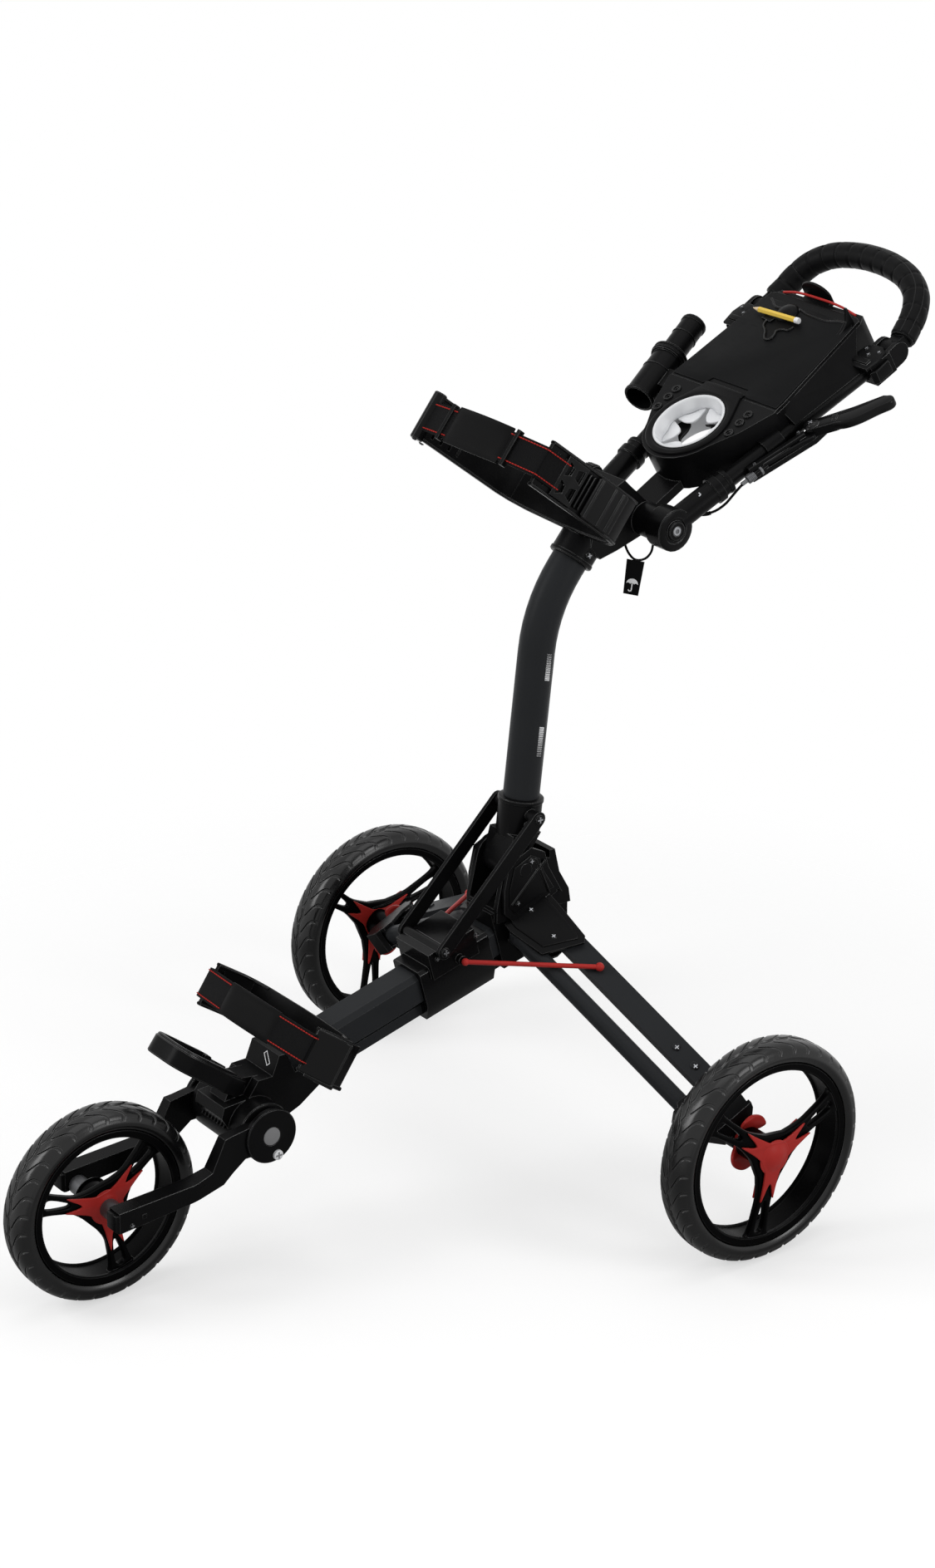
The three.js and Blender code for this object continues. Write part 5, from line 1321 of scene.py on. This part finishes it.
# %% [markdown]
# ## Handle console
# The lid is a thin raised panel with a stepped seam round the cup. A wavy ridge, a flat dome and a wire clip
# keep a pencil at its head, and a fin stands at one corner. A raised lip runs round the cup, with small
# rings for golf tees.

# %% Lid panel and what stands on it
LID_LOW, LID_TOP = 37.6, 39.6
right_edge = [(33, 199), (35, 192), (40, 187), (95, 187), (95, 198), (82, 337), (76, 341)]
lid_panel = mirrored(right_edge[:4]) + right_edge + mirrored(right_edge[4:])
ridge = [(-68, 340), (-60, 335), (-50, 330), (-36, 332), (-16, 337), (4, 334), (26, 333), (42, 334),
         (54, 338), (68, 340)]
clip = [(-43, 308), (-39, 297), (-29, 290), (-23, 283), (-17, 278), (-10, 280), (-10, 288), (-13, 295),
        (-6, 300), (2, 301), (5, 308)]
clip_foot = [(-52, 306), (-34, 304), (-32, 311), (-50, 313)]
dome = [(15.6, 0), (15.4, 2.0), (14, 4.2), (10, 6.2), (5, 7.3), (0, 7.6)]
fin = [(304, 37), (326, 41), (336, 46), (340.5, 55), (343, 62), (345, 61), (345.5, 50), (346, 37)]
piece("lid_panel", slab(lid_panel, LID_LOW, LID_TOP, HANDLE, edge=0.8), satin, "lid")
piece("lid_ridge", [
    tube([(x, s, LID_TOP - 0.6) for x, s in ridge], 2.1, HANDLE),
    tube([(x, s, LID_TOP + 0.9) for x, s in clip], 1.5, HANDLE, smooth=6),
    lathe(dome, 40, HANDLE @ Matrix.Translation((-24, 325.5, LID_TOP - 0.6))),
    slab(clip_foot, LID_LOW, 42.2, HANDLE, edge=0.8),
], plastic, "lid")
piece("lid_fin", slab(fin, 71.5, 76.5, HANDLE @ ON_EDGE, edge=1.0), plastic, "lid")
tongue_arc = [polar(1, a) for a in range(170, 9, -10)]
tongue = [(-40, 30), *[(-14 + 26 * x, 40 + 16 * y) for x, y in tongue_arc], (12, 30)]
behind_lid = HANDLE @ (Matrix.Translation((0, 371.4, 0)) @ UPRIGHT)
piece("console_tongue", [slab(tongue, 0, 3.2, behind_lid, edge=1.0),
                         slab(rectangle(-38, 361, 10, 370.5), 26, 32, HANDLE, edge=1.0)], plastic, "handle")
print("lid: panel, ridge, dome, clip and fin")

# %% Cup lip, tee rings and liner
CUP = HANDLE @ Matrix.Translation((0, 125, 0))
shoulder = [(44, 40), (35, 58), (31, 66)]
lip = smooth_line([polar(57, a) for a in range(-206, 27, 8)] + shoulder + mirrored(shoulder), 3, closed=True)
bowl = round_points(48.5, 64)[::-1]
piece("cup_lip", slab(lip, 34, 41.6, CUP, edge=2.6, holes=[bowl], steps=3), plastic, "handle", smooth=50)
tee_ring = [(6.4, -1), (6.4, 1.2), (5.6, 2.1), (4.0, 2.1), (3.3, 1.2), (3.3, -1)]
tees = [((s * 67, y, 38), UP, 1.0) for s in (-1, 1) for y in (131, 150, 165)]
piece("tee_rings", spots(lathe(tee_ring, 24), tees, HANDLE, plastic), plastic, "handle")


def petal_liner():
    """A white ring whose inside bulges into six soft petals that hold a cup."""
    corners = []
    turns = 144
    for i in range(turns):
        angle = 2 * math.pi * i / turns
        sharp = (0.5 + 0.5 * math.cos(6 * angle - 2.1)) ** 1.8
        section = [(45.6, -11), (45.6, 36), (46.6, 38.2), (46.8, 41.2), (45.6, 42.2), (44.0, 41.8),
                   (43.0, 39), (42.4 - 1.5 * sharp, 35), (41.6 - 3.0 * sharp, 31), (40.8 - 4.2 * sharp, 27.5),
                   (41.0 - 3.5 * sharp, 25), (43.6, 22), (44.2, 4), (44.2, -11)]
        corners += [(r * math.cos(angle), r * math.sin(angle), z) for r, z in section]
    return mesh_of(corners, grid(turns, len(section), around=True), CUP)


def round_the_cup(outline, low, high, edge, angles):
    """Slabs of one outline, turned about the cup."""
    turns = [CUP @ Matrix.Rotation(math.radians(a), 4, "Z") for a in angles]
    return [slab(outline, low, high, place, edge=edge) for place in turns]


piece("cup_liner_petals", petal_liner(), white_plastic, "handle", smooth=60, stands_for=["cup_liner"])
flap_edge = [(42.5, -25), (42.5, 0), (42.5, 25), (35, 25), (27, 21), (21.5, 9), (20.5, -4), (25, -17),
             (34, -24)]
flap = smooth_line([polar(r, a) for r, a in flap_edge], 4, closed=True)
piece("cup_flaps", round_the_cup(flap, 21, 24, 1.2, range(20, 380, 60)), white_plastic, "handle", smooth=50)
claw_edge = [(45, -16), (30, -14), (22, -3), (19, 10), (14, 17), (26, 10), (33, 2), (39, 3), (45, 6)]
claw = smooth_line(claw_edge, 4, closed=True)
piece("cup_claws", round_the_cup(claw, 12, 15.5, 0.6, (55, 175, 295)), plastic, "handle")
print("cup: lip, tee rings, liner, flaps and claws")


# %% Sloping sides of the console
def side_skirt(turn):
    """From the lid's edge down to the top of the handle tube."""
    upper = [(93, 192, 36), (95, 200, 36.5), (80, 346, 36.5), (96, 322, 22), (119, 298, 8.6), (106, 196, 8.6)]
    lower = [(x - 3, s, z - 4) for x, s, z in upper]
    count = len(upper)
    faces = [tuple(range(count))[::-1], tuple(range(count, 2 * count))]
    faces += [(i, (i + 1) % count, (i + 1) % count + count, i + count) for i in range(count)]
    return mesh_of(upper + lower, faces, turn @ HANDLE)


on_sides("console_skirt", side_skirt, plastic, "handle", smooth=20)
print("console sides")

# %% [markdown]
# The pencil is six-sided, with a sharpened end and a white ferrule. The umbrella holder is a tube with
# seams, a strap and a wedge at its head.

# %% Pencil and umbrella holder
PENCIL = aimed(HANDLE, (-62, 314, 45.2), (72, 2, 0))
shaft = [(0, 0.2), (3.6, 0.2), (3.7, 0.5), (3.7, 66), (0, 66)]
point = [(0, -11.4), (0.5, -11.1), (3.5, 0.3), (0, 0.3)]
ferrule = [(0, 65.9), (3.9, 65.9), (3.9, 71), (3.4, 71.8), (0, 72)]
piece("pencil_shaft", lathe(shaft, 6, PENCIL), yellow_paint, "lid", smooth=30, stands_for=["pencil"])
piece("pencil_point", lathe(point, 18, PENCIL), pale_wood, "lid")
piece("pencil_end", lathe(ferrule, 24, PENCIL), white_print, "lid")
foot_at, head_at = Vector((-124, 142, 24)), Vector((-160, 278, 24))
HOLDER = aimed(HANDLE, foot_at, head_at - foot_at)


def holder_ring(r, z, wide):
    """A raised ring on the holder's tube of radius r, from z upwards."""
    section = [(r - 2, z), (r + 0.7, z), (r + 0.9, z + 0.4), (r + 0.9, z + wide - 0.4), (r + 0.7, z + wide),
               (r - 2, z + wide)]
    return lathe(section, 48, HOLDER)


rings = [(20, 1, 3), (20, 46, 1.4), (23, 73, 2.2), (23, 78.5, 2.2), (16, 112, 1.4), (16, 134, 5)]
strap_place = HOLDER @ Matrix.Translation((0, 0, 69)) @ Matrix.Rotation(math.radians(-50), 4, "Z") @ UPRIGHT
strap_end = slab(rectangle(-8, 0, 8, 14), 22, 26, strap_place, edge=1.0)
wedge_place = HOLDER @ Matrix.Rotation(math.radians(-40), 4, "Z") @ ALONG_Z
wedge = [(124, 14), (139, 14), (146, 19), (147, 24), (138, 22), (127, 19.5)]
head_wedge = slab(wedge, -5, 5, wedge_place, edge=1.2)
piece("umbrella_rings", [holder_ring(*r) for r in rings] + [strap_end, head_wedge], plastic, "handle")
print("pencil and umbrella holder")

# %% [markdown]
# ## Brake lever
# The parking-brake lever is a curved paddle on a round boss. A slotted link and a bright adjuster lead to
# the cable.

# %% Lever, link and adjuster
BOSS = (126, 204)
paddle_edge = [(121, 197), (128, 194), (137, 205), (150, 216), (164, 224), (176, 238), (187, 258), (196, 272),
               (195, 281), (187, 284), (178, 277), (168, 260), (157, 244), (143, 230), (130, 220), (118, 210),
               (117, 202)]
paddle = smooth_line(paddle_edge, 4, closed=True)
boss = [(9.6, 8), (9.6, 9.6), (8.6, 10.4), (0, 10.6)]
piece("lever_paddle", [
    slab(paddle, -3.8, 8.8, HANDLE, edge=3.0, steps=3),
    lathe(boss, 32, HANDLE @ Matrix.Translation((*BOSS, 0))),
    slab([(146, 219), (152, 223), (147, 232), (140, 227)], 8, 11, HANDLE, edge=1.0),
], gloss_plastic, "lever", smooth=50)
link = smooth_line([(102, 134), (110, 132), (118, 152), (128, 178), (136, 194), (130, 202), (120, 194),
                    (112, 172)], 4, closed=True)
slot = smooth_line([(111, 150), (114, 152), (124, 178), (122, 182), (116, 170)], 4, closed=True)
piece("brake_link", [slab(link, -4.6, 1.5, HANDLE, edge=1.2, holes=[slot[::-1]]),
                     slab([(97, 116), (104, 114), (127, 190), (121, 194)], -4.8, 6.5, HANDLE, edge=1.2)],
      plastic, "handle", smooth=45)
ADJUSTER = aimed(HANDLE, (101.4, 98, -5), (5, 28, 0))
grooved = [(2.6, 0), (2.6, 8), (4.2, 8.4)]
for i in range(6):
    grooved += [(5.6, 9.2 + 1.8 * i), (5.6, 10.2 + 1.8 * i), (5.0, 10.5 + 1.8 * i)]
grooved += [(4.0, 21), (4.0, 27), (6.2, 27.4), (6.2, 30.4), (4.0, 31)]
piece("brake_adjuster", lathe(grooved, 28, ADJUSTER), steel, "handle")
brake_marks = [((*BOSS, 10.4), UP, 1.2), ((118, 188, 6.4), UP, 0.8), ((104, 124, 6.4), UP, 0.7)]
screws("brake_screw", brake_marks, HANDLE, "handle")
entry = [(82.5, 54, -19.2), (80, 50, -18.4), (77.6, 45, -15.4), (76.8, 42, -12)]
piece("cable_grommet", tube(entry, 2.5, HANDLE), soft_rubber, "handle", smooth=60)
print("brake: lever, link, adjuster, grommet")

# %% [markdown]
# ## Handle tubes, hinge and grip
# Each handle tube has a ring at its sleeve's end and a domed screw on the sleeve. The hinge shows rings
# round a socket screw. The grip is a bowed rubber tube in short segments.

# %% Hinge ends and sleeves
hinge_cap = [(24.8, 0), (24.8, 0.9), (23.6, 1.7), (16.4, 1.7), (15.8, 0.7), (12.6, 0.7), (12.0, 3.3),
             (10.8, 4.2), (6.4, 4.2), (5.9, 3.4), (5.9, 1.9), (0, 1.9)]
sleeve_ring = [(14.2, 0), (15.9, 0.3), (16.1, 1.2), (16.1, 4.6), (15.9, 5.4), (11.2, 6.4)]
sleeve_way = (math.sin(math.radians(7.6)), math.cos(math.radians(7.6)), 0)
on_sides("hinge_cap", lambda turn: [lathe(hinge_cap, 48, turn @ aimed(HANDLE, (84.6, 0, 0), LEFT)),
                                    lathe(sleeve_ring, 40, turn @ aimed(HANDLE, (81.8, 88, 0), sleeve_way))],
         plastic, "handle")
socket = [(5.6, 0), (5.6, 2.2), (5.0, 2.8), (2.9, 2.8), (2.7, 1.0), (0, 1.0)]
on_sides("hinge_socket", lambda turn: lathe(socket, 24, turn @ aimed(HANDLE, (86.2, 0, 0), LEFT)),
         bright_steel, "handle")
screws("sleeve_screw", [((s * 82.5, 52, 11.0), (s * 0.62, 0, 0.78), 1.25) for s in (1, -1)], HANDLE, "handle")
print("hinge caps and sleeves")


# %% Grip
def cross_ways(path, i):
    """The directions across a path at its point i: to its side and upwards."""
    way = way_along(path, i)
    side_way = way.cross(Vector(UP)).normalized()
    return side_way, side_way.cross(way)


def ribbed_tube(path, radius_at, sides, place):
    """A tube whose radius changes along its path. Its up is the frame's z."""
    corners, run = [], 0.0
    for i, point in enumerate(path):
        side_way, up = cross_ways(path, i)
        if i:
            run += (Vector(point) - Vector(path[i - 1])).length
        radius = radius_at(run)
        for k in range(sides):
            angle = 2 * math.pi * k / sides
            corners.append(Vector(point) + radius * (side_way * math.cos(angle) + up * math.sin(angle)))
    ends = [tuple(reversed(range(sides))), tuple(range(len(corners) - sides, len(corners)))]
    data = mesh_of(corners, grid(len(path), sides) + ends)
    made = bmesh.new()
    made.from_mesh(data)
    bmesh.ops.recalc_face_normals(made, faces=made.faces)
    made.to_mesh(data)
    made.free()
    return moved(data, place)


half_grip = [(0, 456, 27), (34, 454, 26), (68, 446, 23), (94, 430, 17), (108, 408, 9), (113, 388, 3),
             (116.6, 372, 0)]
grip_line = smooth_line([(-x, s, t) for x, s, t in reversed(half_grip)] + half_grip[1:], 20)
grip_length = sum((Vector(b) - Vector(a)).length for a, b in zip(grip_line, grip_line[1:]))
SEGMENT = grip_length / 15
GRIP_R = 16.3


def grip_radius(run):
    """A soft groove between two segments, and rounded ends."""
    near = min(run % SEGMENT, SEGMENT - run % SEGMENT)
    ends = min(run, grip_length - run)
    groove = 1.3 * math.exp(-((near / 1.5) ** 2))
    return GRIP_R - groove - 2.2 * math.exp(-((ends / 2.5) ** 2))


piece("grip_rubber", ribbed_tube(grip_line, grip_radius, 32, HANDLE), grip_rubber, "grip", smooth=50)
seams = []
for turn in (0.62, -0.35, 1.3):
    line = []
    for i in range(4, len(grip_line) - 4):
        side_way, up = cross_ways(grip_line, i)
        out = up * math.sin(turn) - side_way * math.cos(turn)
        line.append(tuple(Vector(grip_line[i]) + (GRIP_R - 0.4) * out))
    seams.append(tube(line, 0.75, HANDLE, sides=1, smooth=1))
piece("grip_seams", seams, grip_rubber, "grip")
print("grip:", round(grip_length), "mm long, segments of", round(SEGMENT, 1), "mm")

# %% Grip clamps
CLAMP_X, CLAMP_Y = 115.2, 326
clamp_top = [(-17, -26), (17, -26), (20, -6), (17, 8), (8, 14), (-8, 14), (-17, 8), (-20, -6)]
clamp_knob = [(8.4, 0), (8.4, 5), (7.2, 7), (4, 8), (0, 8)]


def clamp_cover(turn):
    """A plate, a raised bar, a cheek and the knob below."""
    place = turn @ HANDLE @ Matrix.Translation((CLAMP_X, CLAMP_Y, 0))
    return [slab(clamp_top, 12.5, 17.5, place, edge=1.8),
            slab(rectangle(-12, -20, 12, -12), 16.5, 20.5, place, edge=1.2),
            lathe(clamp_knob, 24, aimed(place, (0, -4, -12), (0, 0, -1))),
            slab([(18, -24), (23, -18), (23, 4), (18, 8)], -9, 9, place, edge=1.4)]


on_sides("grip_clamp_cover", clamp_cover, plastic, "handle")
clamp_marks = [((s * (CLAMP_X + x), CLAMP_Y + y, 17.2), UP, 0.8) for s in (1, -1)
               for x, y in ((-11, 4), (11, 4), (0, -4))]
screws("grip_clamp_screw", clamp_marks, HANDLE, "handle")
print("grip clamps")

# %% [markdown]
# ## Umbrella tag
# A rubber tag with a plain umbrella sign hangs from a loop of thin cord under the hinge.

# %% Cord and tag
TAG_Y, TAG_SEAT = 768, 785.19
cord_points = [(-6, -1), (-4, -14), (4, -27), (18, -33), (36, -27), (48, -15), (52, -0.4)]
cord_route = smooth_line([(x, TAG_Y, TAG_SEAT + z) for x, z in cord_points], 8)
tag_cord = piece("tag_loop", tube(cord_route, 1.5, CART, sides=3, smooth=1), soft_rubber, "column", smooth=60,
                 stands_for=["tag_cord"])
FACING, ROLL = math.radians(42), math.radians(7)
TAG = turned_frame((15, TAG_Y, 728.4),
                   (math.cos(FACING) * math.cos(ROLL), math.sin(FACING) * math.cos(ROLL), -math.sin(ROLL)),
                   (math.cos(FACING) * math.sin(ROLL), math.sin(FACING) * math.sin(ROLL), math.cos(ROLL)))
tag_outline = [(-9.2, -22), (9.2, -22), (10.9, 22), (-10.9, 22)]
tag_plate = piece("tag_plate", slab(tag_outline, -1.3, 1.3, TAG, edge=0.5), soft_rubber, "column",
                  stands_for=["tag"])
canopy = [(7.2 * x, -8 + 7.0 * y) for x, y in (polar(1, a) for a in range(0, 181, 15))]
for x0 in (-7.2, -2.4, 2.4):
    canopy += [(x0 + 4.8 * t, -8 + 1.3 * math.sin(math.pi * t)) for t in (0.25, 0.5, 0.75, 1.0)]
hook = [(0, -7), (0, -15.5), (-1.1, -17.2), (-2.8, -17.2), (-3.8, -15.8)]
piece("tag_sign", [slab(canopy[:-1], 1.25, 1.55, TAG, edge=0.1, steps=1),
                   band(smooth_line(hook, 4), 0.2, 1.3, TAG, low=1.2, corner=0.05)], white_print, "column")
